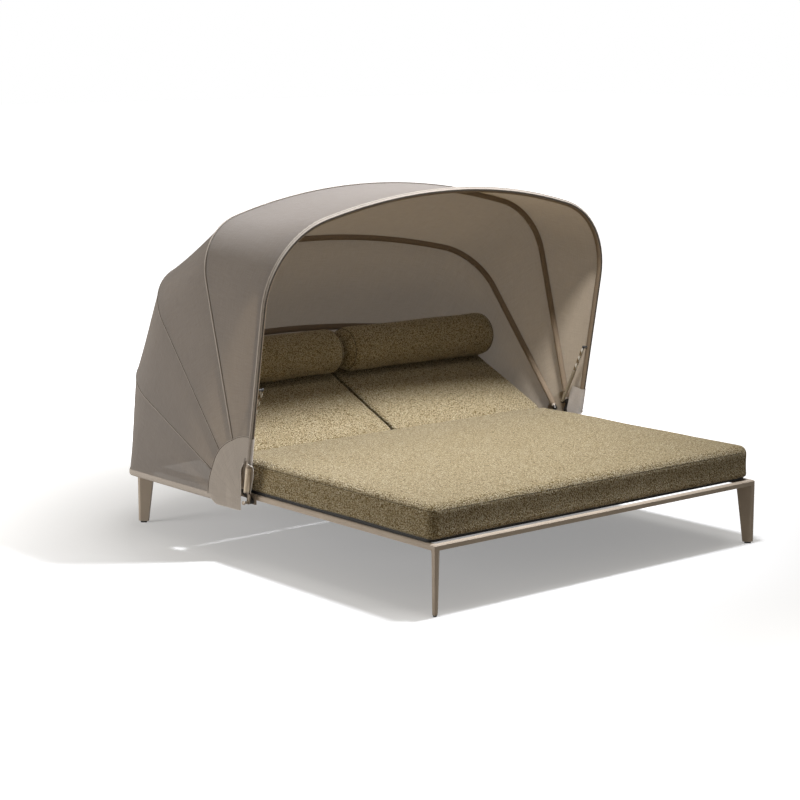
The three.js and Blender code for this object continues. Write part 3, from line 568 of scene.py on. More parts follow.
def tube_mesh(name, path, radius, material, sides):
    """Closed tube along a path, with rings square to it and capped ends. The radius is a length, or a
    function of the ring's number and the angle."""
    rings = []
    up = None
    for i, point in enumerate(path):
        along = (path[min(i + 1, len(path) - 1)] - path[max(i - 1, 0)]).normalized()
        if up is None:
            up = along.orthogonal().normalized()
        up = (up - along * up.dot(along)).normalized()
        side = along.cross(up)
        ring = []
        for k in range(sides):
            angle = 2 * pi * k / sides
            reach = radius(i, angle) if callable(radius) else radius
            ring.append(point + (up * cos(angle) + side * sin(angle)) * reach)
        rings.append(ring)
    points = [p for ring in rings for p in ring]
    uvs = []
    travelled = 0.0
    for i, ring in enumerate(rings):
        if i:
            travelled += (path[i] - path[i - 1]).length
        uvs += [(k / sides, travelled) for k in range(sides)]
    faces = faces_between(len(rings), sides)
    faces.append(tuple(range(sides))[::-1])
    last = (len(rings) - 1) * sides
    faces.append(tuple(range(last, last + sides)))
    return add_mesh(name, points, faces, material, uvs)


def bevel(obj, width):
    made = obj.modifiers.new("bevel", "BEVEL")
    made.width = width
    made.segments = 2
    made.limit_method = "ANGLE"
    made.angle_limit = radians(35)
    made.harden_normals = True


# Canopy lines


def half_profile(bow, inset, start, steps):
    """Places (across, away from the pivot) from the foot of a bow's line to the middle of its crown."""
    side = CLOTH_HALF - inset
    shoulder = bow["shoulder"] - inset
    crown_radius = bow["crown_radius"] - inset
    centre = bow["crown"] - bow["crown_radius"]
    shoulder_u = side - shoulder
    shoulder_r = centre + sqrt((crown_radius - shoulder) ** 2 - shoulder_u**2)
    turn = atan2(shoulder_r - centre, shoulder_u)
    line, bend, crown = steps
    half = [(side, start + (shoulder_r - start) * i / line) for i in range(line)]
    for i in range(bend):
        angle = turn * i / bend
        half.append((shoulder_u + shoulder * cos(angle), shoulder_r + shoulder * sin(angle)))
    for i in range(crown + 1):
        angle = turn + (pi / 2 - turn) * i / crown
        half.append((crown_radius * cos(angle), centre + crown_radius * sin(angle)))
    half[-1] = (0.0, half[-1][1])
    return half


def full_profile(bow, inset, start, steps):
    half = half_profile(bow, inset, start, steps)
    return [(-u, r) for u, r in half] + half[-2::-1]


def lean_of(name):
    return BOWS[name]["lean"]


def at(lean, u, r, sideways=0.0):
    """Point on the plane through the pivot axis that leans by this many degrees, or beside that plane."""
    angle = radians(lean)
    out = Vector((0, sin(angle), cos(angle)))
    across = Vector((0, cos(angle), -sin(angle)))
    return Vector((u, PIVOT.y, PIVOT.z)) + out * r + across * sideways


def bow_line(name, start, inset=0.0, sideways=0.0, steps=FINE):
    return [at(lean_of(name), u, r, sideways) for u, r in full_profile(BOWS[name], inset, start, steps)]


def edge_of(name, start):
    """Edge of a span of cloth: a bow's line, or the hem along the rails."""
    if name is None:
        return [Vector((u, PIVOT.y + r, HEM_HEIGHT)) for u, r in full_profile(BOWS[None], 0.0, start, FINE)]
    return bow_line(name, start)


def between(first, second, sag):
    """Rows of points from one edge to the other, drawn in towards the pivot where the cloth is free.
    On the flat side walls it waves a little sideways."""
    rows = []
    for a, b in zip(first, second):
        free = min(max(1 - abs(a.x) / CLOTH_HALF, 0) / FREE_SHARE, 1)
        row = []
        for share in shares(PANEL_STEPS):
            point = a.lerp(b, share)
            inward = (PIVOT - point) * Vector((0, 1, 1))
            wave = WALL_WAVE * (1 - free) * min(max((inward.length - WAVE_START) / WAVE_RISE, 0), 1)
            point.x += copysign(wave, point.x) * sin(2 * pi * share)
            row.append(point + inward.normalized() * sag * free * 4 * share * (1 - share))
        rows.append(row)
    return rows


def blend_between(obj):
    """Bakes the object's place into its mesh."""
    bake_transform(obj)


def canopy_panels():
    for span, first, second, sag in SPANS:
        start = FRONT_CLEAR if first == "front" else HUB_CLEAR
        rows = between(edge_of(first, start), edge_of(second, HUB_CLEAR), sag)
        node = "canopy_skirt" if span == "skirt" else f"canopy_panel_{span}"
        obj = grid_mesh(f"{node}_cloth", rows, MESH)
        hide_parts(node)
        blend_between(obj)


def trim_tube(name, path, radius, material, sides, body):
    """Tube of trim sewn on the canopy cloth, that rides on one body."""
    obj = tube_mesh(name, path, radius, material, sides)
    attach(obj, body)


def bow_strip(obj_name, bow_name, section, start, material, steps=COARSE):
    """Strip along one bow's line that rides on the bow, with one section (sideways, inward) all along."""
    lines = [bow_line(bow_name, start, inward, sideways, steps) for sideways, inward in section]
    obj = grid_mesh(obj_name, list(zip(*lines)), material)
    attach(obj, f"bow_{bow_name}")
    return obj


def bow_pocket(name):
    """Pocket of tape sewn inside the cloth round one bow's tube."""
    depth = TUBE_RADIUS + CLOTH_THICKNESS + BOWS[name]["room"]
    reach = TUBE_RADIUS + TAPE_GAP
    first, turn = TAPE_TURN
    section = [(-sideways, inward) for sideways, inward in TAPE_EDGE]
    for i in range(9):
        angle = pi * (first - turn * i / 8)
        section.append((reach * cos(angle), depth + reach * sin(angle)))
    section += reversed(TAPE_EDGE)
    bow_strip(f"bow_pocket_{name}", name, section, TAPE_START, POCKET)


def bow_welt(name):
    """Raised seam on the outside of the cloth over one bow: a light ridge beside dark stitching."""
    for part, sideways, radius, material in WIDE_WELT if name == "second" else NARROW_WELT:
        path = bow_line(name, PATCH_RADII[name], -WELT_PROUD, sideways, COARSE)
        trim_tube(f"bow_welt_{part}_{name}", path, radius, material, 8, f"bow_{name}")


def sleeve_place(degrees, radius):
    """Place (sideways, inward) on the front sleeve: 90 is outermost, 180 at the front and 270 innermost."""
    middle = TUBE_RADIUS + CLOTH_THICKNESS + BOWS["front"]["room"]
    angle = radians(degrees)
    return radius * cos(angle), middle - radius * sin(angle)


def front_sleeve():
    """Sleeve round the front bow: light binding outside, a dark line of painted shade at the front and tape
    inside.
    """
    radius = TUBE_RADIUS + SLEEVE_WALL
    materials = {"light": BINDING, "dark": SHADE_LINE, "inner": POCKET}
    for part, low, high, count in SLEEVE_BANDS:
        section = [sleeve_place(low + (high - low) * i / count, radius) for i in range(count + 1)]
        name = f"front_sleeve_{part}"
        bow_strip(name, "front", section, SLEEVE_START, materials[part], SLEEVE_STEPS)
    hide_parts("canopy_front_sleeve")
    for part, degrees, thick in SLEEVE_LINES:
        sideways, inset = sleeve_place(degrees, radius)
        path = bow_line("front", SLEEVE_LINE_START, inset, sideways, COARSE)
        trim_tube(f"front_sleeve_{part}", path, thick, WELT, 6, "bow_front")


# Hub patches


def patch_inner(first, lean):
    """Inner radius of a patch: above the slit, down the slit's mouth and along the straight edge below it."""
    edge = max(SLIT_EDGE / max(sin(radians(lean)), 1e-3), SLIT_LEAST)
    if first != "front":
        return edge
    apex, foot = SLIT_APEX["radius"], SLIT_FOOT["radius"]
    if lean <= SLIT_APEX["lean"]:
        return FRONT_CLEAR
    if lean <= SLIT_FOOT["lean"]:
        return apex + (foot - apex) * (lean - SLIT_APEX["lean"]) / (SLIT_FOOT["lean"] - SLIT_APEX["lean"])
    return min(edge, foot)


def patch_lines(index, side):
    """Rows of one patch from its inner edge outwards, and the line of its seam."""
    _, first, second, _ = SPANS[index]
    x = side * (CLOTH_HALF + PATCH_GAP)
    layer = PATCH_LAYER * index
    rows, seam = [], []
    for share in shares(PATCH_STEPS):
        lean = lean_of(first) + (lean_of(second) - lean_of(first)) * share
        outer = PATCH_RADII[first] + (PATCH_RADII[second] - PATCH_RADII[first]) * share
        inner = PATCH_TOE if second is None and share == 1 else patch_inner(first, lean)
        levels = [inner + (outer - inner) * k / PATCH_LEVELS for k in range(PATCH_LEVELS + 1)]
        rows.append([at(lean, x + side * layer, r) for r in levels])
        seam.append(at(lean, x + side * (layer + PATCH_SEAM["out"]), outer - PATCH_SEAM["inside"]))
    return rows, seam


def hub_patches():
    for hand, side in SIDES:
        for index, (span, first, second, _) in enumerate(SPANS):
            rows, seam = patch_lines(index, side)
            obj = grid_mesh(f"hub_patch_{span}_{hand}", rows, PATCH)
            blend_between(obj)
            lines = [("seam", seam, PATCH_SEAM["radius"], WELT)]
            if first == "front":
                mouth = [row[0] for row in rows if row[0].z < PIVOT.z + POCKET_APEX]
                lines.append(("edge", mouth, MOUTH_RADIUS, EDGE))
            for part, line, radius, material in lines:
                trim = tube_mesh(f"hub_patch_{part}_{span}_{hand}", line, radius, material, 6)
                blend_between(trim)


def hub_flaps():
    """Tongue of cloth that hangs over the rail below the hub, wavy at its lower edge."""
    near, far = FLAP_ENDS
    for hand, side in SIDES:
        rows = []
        for share in shares(FLAP_STEPS):
            y = near + (far - near) * share
            rise = FLAP_RISE * max(share - FLAP_RISE_FROM, 0) ** 1.2 / FLAP_TAIL**1.2
            low = FLAP_LOW - FLAP_SAG * sin(share * pi) + rise
            row = []
            for k in range(FLAP_LEVELS + 1):
                z = FLAP_TOP + (low - FLAP_TOP) * k / FLAP_LEVELS
                wave = FLAP_WAVE * sin(share * 11.0) * k / FLAP_LEVELS
                row.append(Vector((side * (CLOTH_HALF + FLAP_OUT + wave), PIVOT.y + y, PIVOT.z + z)))
            rows.append(row)
        obj = grid_mesh(f"hub_flap_cloth_{hand}", rows, PATCH)
        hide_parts(f"hub_flap_{hand}")
        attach(obj, "bed_frame")
        lower = rows[0][:-1] + [row[-1] for row in rows]
        trim_tube(f"hub_flap_hem_{hand}", lower, FLAP_HEM, EDGE, 6, "bed_frame")


def pocket_opening(r):
    """Angle round the socket where the pocket's free edge lies, and how far the edge stands off."""
    if r >= POCKET_APEX:
        return -165.0, 0.0
    if r >= POCKET_MOUTH:
        share = (POCKET_APEX - r) / (POCKET_APEX - POCKET_MOUTH)
        return -90.0 + 122.0 * share, POCKET_STAND * share
    share = (POCKET_MOUTH - r) / (POCKET_MOUTH - POCKET_FOOT)
    return 32.0 + 16.0 * share, POCKET_STAND + 0.0025 * sin(share * 5.0)


def pocket_section(r, inset):
    """Places (sideways, inward) round the socket from the free edge, then along the side wall."""
    start, stand = pocket_opening(r)
    section = []
    for k in range(11):
        angle = radians(start + (90 - start) * k / 10)
        wrap = POCKET_WRAP + stand * (1 - k / 10) ** 2
        section.append((-wrap * cos(angle), inset + wrap * sin(angle)))
    tail = POCKET_TAIL + 0.025 * sin(r * 9)
    for k in range(1, 6):
        ripple = POCKET_RIPPLE * sin(k * 1.7 + r * 42)
        section.append((tail * k / 5, inset + POCKET_WRAP + ripple))
    return section


def front_pockets():
    """Pocket round the foot of the front bow, open at the front where the socket shows through the slit."""
    bow = BOWS["front"]
    inset = TUBE_RADIUS + CLOTH_THICKNESS + bow["room"]
    for hand, side in SIDES:
        grid = []
        edge = []
        for i in range(POCKET_LEVELS + 1):
            r = POCKET_FOOT + (POCKET_TOP - POCKET_FOOT) * i / POCKET_LEVELS
            row = [at(bow["lean"], side * (CLOTH_HALF - d), r, s) for s, d in pocket_section(r, inset)]
            grid.append(row)
            if r < POCKET_APEX + POCKET_STAND:
                edge.append(row[0])
        obj = grid_mesh(f"front_pocket_{hand}", grid, PATCH)
        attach(obj, "bow_front")
        trim_tube(f"front_pocket_edge_{hand}", edge, POCKET_RIM, EDGE, 8, "bow_front")


def hem_roll():
    """Flat rolled hem along the skirt's lower edge."""
    path = edge_of(None, HEM_START)
    rows = []
    for i, point in enumerate(path):
        along = (path[min(i + 1, len(path) - 1)] - path[max(i - 1, 0)]).normalized()
        out = Vector((along.y, -along.x, 0)).normalized()
        if out.dot(Vector((point.x, point.y - 0.3, 0))) < 0:
            out = -out
        row = []
        for k in range(HEM_SIDES):
            angle = 2 * pi * k / HEM_SIDES
            rise = HEM_HALF_HIGH * sin(angle) + HEM_LIFT
            row.append(point + out * HEM_HALF_THICK * cos(angle) + Vector((0, 0, rise)))
        rows.append(row)
    obj = grid_mesh("skirt_hem_roll", rows, BINDING, closed=True)
    blend_between(obj)


# Tension cords


def tension_cords():
    """Twisted cord from a ball on the front bow to an anchor on the second, in a gathered sleeve."""
    fixed, lobe = CORD_LOBE
    wave_turn = 2 * pi / SLEEVE_WAVE_STEPS

    def lobes(i, angle):
        travelled = length * i / CORD_STEPS
        return CORD_RADIUS * (fixed + lobe * abs(cos(angle + pi * CORD_TURNS * travelled)))

    def gathers(i, angle):
        return SLEEVE_RADIUS + SLEEVE_WAVE * cos(i * wave_turn)

    for hand, side in SIDES:
        top = at(lean_of("front"), side * CORD_X, TOGGLE_R)
        bottom = at(lean_of("second"), side * CORD_X, ANCHOR_R)
        along = (bottom - top).normalized()
        top += along * TOGGLE_TRIM
        bottom -= along * ANCHOR_TRIM
        length = (bottom - top).length
        path = [top.lerp(bottom, share) for share in shares(CORD_STEPS)]
        cord = tube_mesh(f"tension_cord_{hand}_twist", path, lobes, CORD, 16)
        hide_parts(f"tension_cord_{hand}")
        blend_between(cord)
        low, high = SLEEVE_SPAN
        cover = [top.lerp(bottom, low + (high - low) * i / SLEEVE_RINGS) for i in range(SLEEVE_RINGS + 1)]
        sleeve = tube_mesh(f"tension_cord_sleeve_{hand}", cover, gathers, SLEEVE, 14)
        blend_between(sleeve)


# Cushions


def spaced(half, edge, cell):
    """Places from -half to half, close together over the rolled edge."""
    inner = half - edge
    count = max(2, round(2 * inner / cell))
    middle = [-inner + 2 * inner * i / count for i in range(count + 1)]
    rim = [inner + edge * share for share in (0.25, 0.5, 0.75, 1.0)]
    return [-v for v in reversed(rim)] + middle + rim


def to_disc(dx, dy):
    """Maps a quarter square onto a quarter disc."""
    if dx <= 0 or dy <= 0:
        return dx, dy
    if dx >= dy:
        angle, reach = pi / 4 * dy / dx, dx
    else:
        angle, reach = pi / 2 - pi / 4 * dx / dy, dy
    return reach * cos(angle), reach * sin(angle)


def cushion_points(half, shape, cell):
    """Box grid wrapped onto a cushion with round corners, rolled edges, a crown, and sides that draw in along
    their length and swell at half height."""
    hx, hy, hz = half
    corner, crown, draw_in = shape["corner"], shape["crown"], shape["draw_in"]
    roll = shape["edge"]
    lines = [spaced(hx, roll, cell), spaced(hy, roll, cell), spaced(hz, roll, cell * 1.2)]
    index = {}
    points = []

    def wrap(x, y, z):
        edge = roll if z >= 0 else shape["low_edge"]
        depth = min(hx - abs(x), hy - abs(y))
        on_flat = abs(abs(z) - hz) < 1e-9
        level = abs(z)
        if on_flat and depth < edge:
            angle = pi / 4 * (1 + depth / edge)
        elif on_flat:
            angle = pi / 2
        else:
            angle = pi / 4 * max(level - (hz - edge), 0) / edge
        inset = edge * (1 - cos(angle)) if depth < edge else depth
        if level > hz - edge - 1e-9:
            level = hz - edge + edge * sin(angle)
        cx, cy = hx - corner, hy - corner
        dx, dy = abs(x) - cx, abs(y) - cy
        if dx > 0 and dy > 0:
            scale = (corner - inset) / max(corner - depth, 1e-9) if depth < corner else 1.0
            dx, dy = to_disc(dx * scale, dy * scale)
        elif depth < edge:
            if hx - abs(x) <= hy - abs(y):
                dx = hx - inset - cx
            else:
                dy = hy - inset - cy
        px = copysign(cx + dx, x) if abs(x) > 0 else 0.0
        py = copysign(cy + dy, y) if abs(y) > 0 else 0.0
        rolled = depth < edge if on_flat else level > hz - edge
        if rolled and z > 0 and y > 0 and hy - y <= hx - abs(x):
            tight = 1 + (shape["rear"] - 1) * min(max((cx - abs(px)) / REAR_FADE, 0), 1)
            py = hy - (hy - py) * tight
            level = hz - (hz - level) * tight
        upright = 1 - (level / hz) ** 2
        swelling = SIDE_SWELL * upright
        px -= copysign(draw_in * (1 - (py / hy) ** 2) - swelling, px) * min(abs(px) / cx, 1) ** 8
        py -= copysign(draw_in * (1 - (px / hx) ** 2) - swelling, py) * min(abs(py) / cy, 1) ** 8
        swell = 0.0
        if z > 0:
            swell = crown * max(1 - (px / hx) ** 4, 0) * max(1 - (py / hy) ** 4, 0)
        return Vector((px, py, copysign(level, z) + swell))

    def vertex(i, j, k):
        key = (i, j, k)
        if key not in index:
            index[key] = len(points)
            points.append(wrap(lines[0][i], lines[1][j], lines[2][k]))
        return index[key]

    faces = []

    def face(*corners):
        faces.append(tuple(vertex(*corner) for corner in corners))

    nx, ny, nz = (len(line) - 1 for line in lines)
    for i in range(nx):
        for j in range(ny):
            face((i, j, nz), (i + 1, j, nz), (i + 1, j + 1, nz), (i, j + 1, nz))
            face((i, j, 0), (i, j + 1, 0), (i + 1, j + 1, 0), (i + 1, j, 0))
    for i in range(nx):
        for k in range(nz):
            face((i, 0, k), (i + 1, 0, k), (i + 1, 0, k + 1), (i, 0, k + 1))
            face((i, ny, k), (i, ny, k + 1), (i + 1, ny, k + 1), (i + 1, ny, k))
    for j in range(ny):
        for k in range(nz):
            face((0, j, k), (0, j, k + 1), (0, j + 1, k + 1), (0, j + 1, k))
            face((nx, j, k), (nx, j + 1, k), (nx, j + 1, k + 1), (nx, j, k + 1))
    return points, faces


CLOTH_SETTINGS = {
    "quality": 4, "mass": 0.35, "tension_stiffness": 18, "compression_stiffness": 18,
    "shear_stiffness": 8, "bending_stiffness": 1.5, "use_pressure": True, "uniform_pressure_force": 4.0,
}
FILL_FRAMES = 20


def move_vertices(obj, places):
    obj.data.vertices.foreach_set("co", [number for place in places for number in place])
    obj.data.update()


def puff(obj, cap):
    """Lets air pressure fill a cushion's cover for a moment, and keeps each point near its place."""
    rest = [v.co.copy() for v in obj.data.vertices]
    cloth = obj.modifiers.new("fill", "CLOTH")
    for name, value in CLOTH_SETTINGS.items():
        setattr(cloth.settings, name, value)
    cloth.settings.effector_weights.gravity = 0
    cloth.collision_settings.use_collision = False
    cloth.point_cache.frame_start = 1
    cloth.point_cache.frame_end = FILL_FRAMES
    for step in range(1, FILL_FRAMES + 1):
        scene.frame_set(step)
    done = obj.evaluated_get(bpy.context.evaluated_depsgraph_get())
    moved = [v.co.copy() for v in done.data.vertices]
    obj.modifiers.remove(cloth)
    scene.frame_set(1)
    places = []
    for before, after in zip(rest, moved):
        step = after - before
        if step.length > cap:
            step *= cap / step.length
        places.append(before + step)
    move_vertices(obj, places)


def soften(obj, amount, scale, seed):
    """Slow unevenness of a filled cover."""
    shift = Vector((seed, seed * 0.37, seed * 0.71))
    vertices = obj.data.vertices
    normals = [v.normal.copy() for v in vertices]
    bumps = [amount * noise.noise(v.co * scale + shift) for v in vertices]
    move_vertices(obj, [v.co + normal * rise for v, normal, rise in zip(vertices, normals, bumps)])


def subdivided(obj):
    made = obj.modifiers.new("smooth", "SUBSURF")
    made.levels = 1
    made.render_levels = 1


def seam_loop(half, shape, level, angle_up):
    """Line round a cushion on its rolled edge, before it is dropped onto the surface."""
    hx, hy, hz = half
    edge = shape["edge"] if level > 0 else shape["low_edge"]
    inset = edge * (1 - cos(angle_up))
    z = (hz - edge + edge * sin(angle_up)) * level
    path = []
    radius = shape["corner"] - inset
    x, y = hx - inset, hy - inset
    corners = ((1, 1), (-1, 1), (-1, -1), (1, -1))

    def turned(corner, angle):
        across = corner[0] * (x - radius) + radius * cos(angle)
        return Vector((across, corner[1] * (y - radius) + radius * sin(angle), z))

    for quarter, corner in enumerate(corners):
        path += [turned(corner, (quarter + i / 8) * pi / 2) for i in range(9)]
        last = path[-1]
        goal = turned(corners[(quarter + 1) % 4], (quarter + 1) * pi / 2)
        path += [last.lerp(goal, i / 40) for i in range(1, 40)]
    return path


def seam_tube(name, path, axes, radius):
    """Dark seam round a closed path. Each point has the two directions of its ring."""
    angles = [2 * pi * k / SEAM_SIDES for k in range(SEAM_SIDES)]
    points = []
    for point, (up, side) in zip(path, axes):
        points += [point + (up * cos(angle) + side * sin(angle)) * radius for angle in angles]
    seam = add_mesh(name, points, faces_between(len(path), SEAM_SIDES, loop=True), THREAD)
    return seam


def surface_tree(obj):
    data = obj.data
    return BVHTree.FromPolygons([v.co for v in data.vertices], [tuple(p.vertices) for p in data.polygons])


def sunk(tree, places, depth):
    """The nearest places on a surface, a little under it."""
    found = (tree.find_nearest(place) for place in places)
    return [place - normal * depth for place, normal, _, _ in found]


def seam_on(obj, name, half, shape, level, angle_up, matrix, radius=0.0013):
    """Dark seam sunk a little into a finished cushion."""
    places = [matrix @ point for point in seam_loop(half, shape, level, angle_up)]
    path = sunk(surface_tree(obj), places, radius * 0.4)
    count = len(path)
    smooth = [(path[i - 1] + path[i] * 2 + path[(i + 1) % count]) / 4 for i in range(count)]
    axes = []
    for i in range(count):
        along = (smooth[(i + 1) % count] - smooth[i - 1]).normalized()
        up = Vector((0, 0, 1))
        up = (up - along * up.dot(along)).normalized()
        axes.append((up, along.cross(up)))
    return seam_tube(name, smooth, axes, radius)


def cushion(name, half, shape, cell, matrix, seed, cap):
    points, faces = cushion_points(half, shape, cell)
    obj = add_mesh(name, points, faces, BOUCLE)
    puff(obj, cap)
    soften(obj, 0.003, 3.0, seed)
    soften(obj, 0.001, 11.0, seed + 5)
    obj.data.transform(matrix)
    obj.data.update()
    return obj


def pad_shade_block(low, high, top):
    """Near-black block of painted shade that lies on the rails in the gap under the pad, set back from the
    edge of the pad.
    """
    x = high.x - PAD_BASE["side"]
    y_low, y_high = low.y + PAD_BASE["foot"], high.y - PAD_BASE["side"]
    radius = PAD["corner"] - PAD_BASE["side"]
    outline = []
    for quarter, (cx, cy) in enumerate(((1, y_high), (-1, y_high), (-1, y_low), (1, y_low))):
        for i in range(7):
            angle = (quarter + i / 6) * pi / 2
            across = cx * (x - radius) + radius * cos(angle)
            along = cy - copysign(radius, cy - y_low - 0.01) + radius * sin(angle)
            outline.append((across, along))
    count = len(outline)
    points = [(px, py, z) for z in (low.z + 0.0004, top) for px, py in outline]
    faces = [tuple(range(count))[::-1], tuple(range(count, 2 * count))]
    faces += [(i, (i + 1) % count, (i + 1) % count + count, i + count) for i in range(count)]
    obj = add_mesh("seat_pad_shade_block", points, faces, GAP_SHADE, smooth=False)
    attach(obj, "bed_frame")


def seat_pad():
    low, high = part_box("seat_pad")
    base = low.z + PAD_BASE["height"]
    thickness = low.z + PAD["thickness"] - base
    half = ((high.x - low.x) / 2 - COVER_SHRINK, (high.y - low.y) / 2 - COVER_SHRINK, thickness / 2)
    matrix = Matrix.Translation(((low.x + high.x) / 2, (low.y + high.y) / 2, base + thickness / 2))
    obj = cushion("seat_pad_cushion", half, PAD, 0.024, matrix, 3.1, 0.003)
    seams = [
        seam_on(obj, "seat_pad_seam_top", half, PAD, 1, radians(21), matrix),
        seam_on(obj, "seat_pad_seam_bottom", half, PAD, -1, radians(40), matrix, 0.0011),
    ]
    subdivided(obj)
    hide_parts("seat_pad")
    for piece in [obj, *seams]:
        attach(piece, "bed_frame")
    pad_shade_block(low, high, base + PAD["low_edge"] / 4)


def backrest_matrix():
    place = Matrix.Translation(Vector((0, HINGE.y, HINGE.z)))
    return place @ Matrix.Rotation(REST_ANGLE, 4, "X")


def back_cushions():
    half_x = (BACK_OUTER - BACK_INNER) / 2
    thickness = BACK["thickness"]
    half = (half_x - COVER_SHRINK, BACK_LENGTH / 2 - COVER_SHRINK, thickness / 2 - 0.001)
    for hand, side in SIDES:
        centre = (side * (BACK_INNER + half_x), BACK_START + BACK_LENGTH / 2, BACKREST_TOP + thickness / 2)
        axis = backrest_matrix()
        matrix = axis @ Matrix.Translation(centre)
        obj = cushion(f"back_cushion_{hand}_cover", half, BACK, 0.02, matrix, 7.3 + side, 0.003)
        seams = [
            seam_on(obj, f"back_cushion_{hand}_seam_{end}", half, BACK, level, angle, matrix)
            for end, level, angle in (("top", 1, radians(28)), ("bottom", -1, radians(20)))
        ]
        subdivided(obj)
        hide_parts(f"back_cushion_{hand}")
        for piece in [obj, *seams]:
            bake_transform(piece)


def bolster_profile(half):
    """Places (radius, along) from the middle of one end over the rounded edge and the body to the other."""
    flat = BOLSTER_RADIUS - BOLSTER_DOME
    profile = [(flat * i / 7, -half - 0.003 * cos(i / 7 * pi / 2)) for i in range(7)]
    for i in range(9):
        angle = pi / 2 * i / 8
        profile.append((flat + BOLSTER_DOME * sin(angle), -half + BOLSTER_DOME * (1 - cos(angle))))
    rounded = list(profile)
    count = 34
    body = 2 * (half - BOLSTER_DOME)
    profile += [(BOLSTER_RADIUS, -half + BOLSTER_DOME + body * i / count) for i in range(1, count)]
    return profile + [(r, -x) for r, x in reversed(rounded)]


def bolster_mesh(name, profile):
    sides = 56
    points = []
    for r, x in profile[1:-1]:
        for k in range(sides):
            angle = 2 * pi * k / sides
            points.append(Vector((x, r * cos(angle), r * sin(angle))))
    rings = len(profile) - 2
    points += [Vector((profile[0][1], 0, 0)), Vector((profile[-1][1], 0, 0))]
    faces = []
    for i in range(rings - 1):
        for k in range(sides):
            a, b = i * sides + k, i * sides + (k + 1) % sides
            faces.append((a, a + sides, b + sides, b))
    last = (rings - 1) * sides
    for k in range(sides):
        faces.append((rings * sides, k, (k + 1) % sides))
        faces.append((rings * sides + 1, last + (k + 1) % sides, last + k))
    return add_mesh(name, points, faces, BOUCLE)


def bolster_seams(obj, hand, side, half, matrix):
    """Dark seams round the two ends of a bolster."""
    tree = surface_tree(obj)
    reach = BOLSTER_RADIUS - BOLSTER_DOME * (1 - sin(BOLSTER_SEAM))
    steps = 64
    for end_name, end in (("inner", -side), ("outer", side)):
        x = end * (half - BOLSTER_DOME * (1 - cos(BOLSTER_SEAM)))
        angles = [2 * pi * k / steps for k in range(steps)]
        places = [matrix @ Vector((x, reach * cos(angle), reach * sin(angle))) for angle in angles]
        ring = sunk(tree, places, 0.0005)
        centre = sum(ring, Vector()) / steps
        axes = [((point - centre).normalized(), Vector((1, 0, 0))) for point in ring]
        seam = seam_tube(f"bolster_{hand}_seam_{end_name}", ring, axes, 0.0015)
        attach(seam, f"backrest_{hand}")


def bolsters():
    half = BOLSTER_LENGTH / 2 - BOLSTER_SHORT
    rise = BACKREST_TOP + BACK["thickness"] + BACK["crown"] + 0.001 - BOLSTER_SETTLE + BOLSTER_RADIUS
    for hand, side in SIDES:
        obj = bolster_mesh(f"bolster_{hand}_cover", bolster_profile(half))
        puff(obj, 0.002)
        soften(obj, 0.0035, 5.0, 13.0 + side)
        centre = (side * (BOLSTER_INNER + BOLSTER_LENGTH / 2), BOLSTER_UP, rise)
        matrix = backrest_matrix() @ Matrix.Translation(centre)
        obj.data.transform(matrix)
        obj.data.update()
        bolster_seams(obj, hand, side, half, matrix)
        subdivided(obj)
        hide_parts(f"bolster_{hand}")
        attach(obj, f"backrest_{hand}")


# Carried-over nodes


STEEL_NODES = ("bow_arm_second", "bow_arm_third", "bow_arm_rear", "backrest_stay", "backrest_hinge")
SMOOTH_NODES = ("canopy_bow", "cord_toggle", "bow_socket")
BEVELLED_NODES = ("frame_rail", "leg_", "seat_slat", "hinge_beam", "backrest_frame")


def dress_nodes():
    for name, obj in nodes.items():
        if name.startswith(("glide", "cord_toggle")):
            material = BLACK
        elif name.startswith(STEEL_NODES):
            material = STEEL
        elif name.startswith("bow_socket"):
            material = BEIGE
        else:
            material = COAT
        obj.data.materials.clear()
        obj.data.materials.append(material)
        if name.startswith(SMOOTH_NODES):
            obj.data.shade_smooth()
        elif name.startswith(BEVELLED_NODES):
            bevel(obj, 0.0016)
        elif name.startswith("glide"):
            bevel(obj, 0.0012)


# Camera, light and floor


def camera():
    data = bpy.data.cameras.new("camera")
    data.lens = CAMERA_LENS
    data.sensor_width = 36.0
    data.dof.use_dof = False
    obj = bpy.data.objects.new("camera", data)
    obj.location = PIVOT + CAMERA_FROM_PIVOT
    obj.rotation_euler = (pi / 2 - CAMERA_PITCH, 0, -CAMERA_YAW)
    scene.collection.objects.link(obj)
    scene.camera = obj


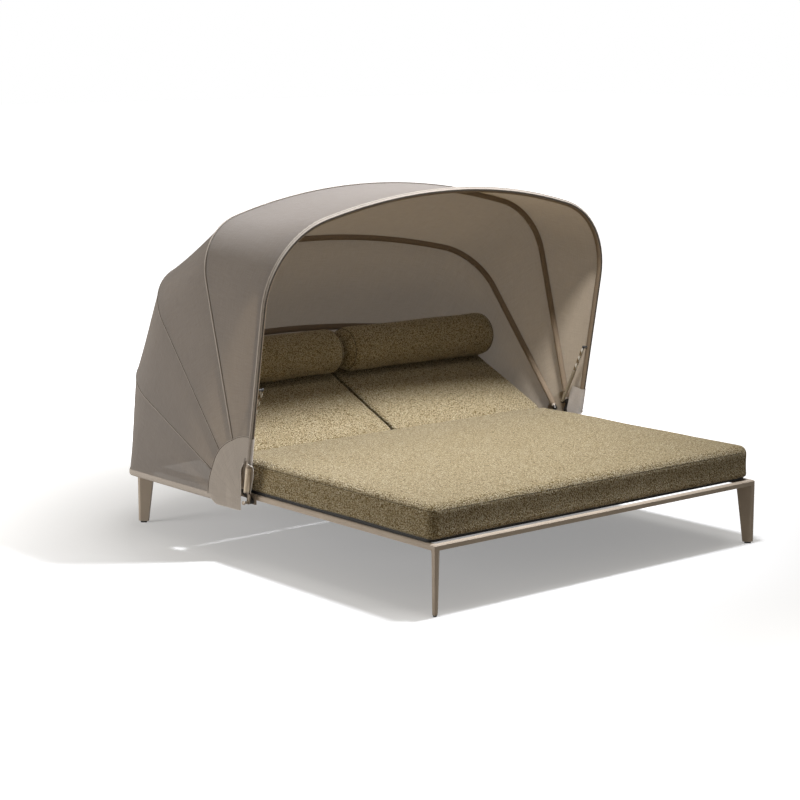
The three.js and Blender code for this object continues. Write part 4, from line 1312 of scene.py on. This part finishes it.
def lamp(name, kind, place, goal, energy, colour, **values):
    data = bpy.data.lights.new(name, kind)
    data.energy = energy
    data.color = colour
    for key, value in values.items():
        setattr(data, key, value)
    obj = bpy.data.objects.new(name, data)
    obj.location = place
    obj.rotation_euler = (Vector(goal) - Vector(place)).to_track_quat("-Z", "Y").to_euler()
    scene.collection.objects.link(obj)
    return data


def lights():
    cone = {"spot_size": KEY_CONE, "spot_blend": 1.0, "shadow_soft_size": KEY_RADIUS}
    key = lamp("key", "SPOT", KEY_PLACE, KEY_GOAL, KEY_ENERGY, KEY_COLOUR, **cone)
    key.use_nodes = True
    even = key.node_tree.nodes.new("ShaderNodeLightFalloff")
    even.inputs["Strength"].default_value = 1.0
    key.node_tree.links.new(even.outputs["Constant"], key.node_tree.nodes["Emission"].inputs["Strength"])
    lamp("top", "SUN", TOP_PLACE, TOP_GOAL, TOP_ENERGY, TOP_COLOUR, angle=TOP_SPREAD)
    lamp("side", "AREA", SIDE_PLACE, SIDE_GOAL, SIDE_ENERGY, SIDE_COLOUR, shape="DISK", size=SIDE_SIZE)


def sky():
    """Soft warm light that grows with height, and a white background."""
    s = Shader("world", world=True)
    scene.world = s.material
    direction = s.node("TexCoord").outputs["Generated"]
    height = s.node("SeparateXYZ", {0: direction}).outputs["Z"]
    strength = s.range(height, SKY_FROM, 1.0, SKY_LOW, SKY_HIGH)
    soft = s.node("Background", {"Color": (*SKY_COLOUR, 1), "Strength": strength})
    white = s.node("Background", {"Color": (1, 1, 1, 1)})
    s.surface(s.mix_shader(s.background_rays(), soft, white))


def floor():
    corners = [Vector((x * FLOOR_HALF, y * FLOOR_HALF, 0)) for x, y in ((-1, -1), (1, -1), (1, 1), (-1, 1))]
    obj = add_mesh("floor", corners, [(0, 1, 2, 3)], studio_floor())


camera()
tension_cords()
dress_nodes()
canopy_panels()
for bow_name in ("second", "third", "rear"):
    bow_pocket(bow_name)
    bow_welt(bow_name)
front_sleeve()
hub_patches()
hub_flaps()
front_pockets()
hem_roll()
seat_pad()
back_cushions()
bolsters()
lights()
sky()
floor()

scene.view_settings.view_transform = "Standard"
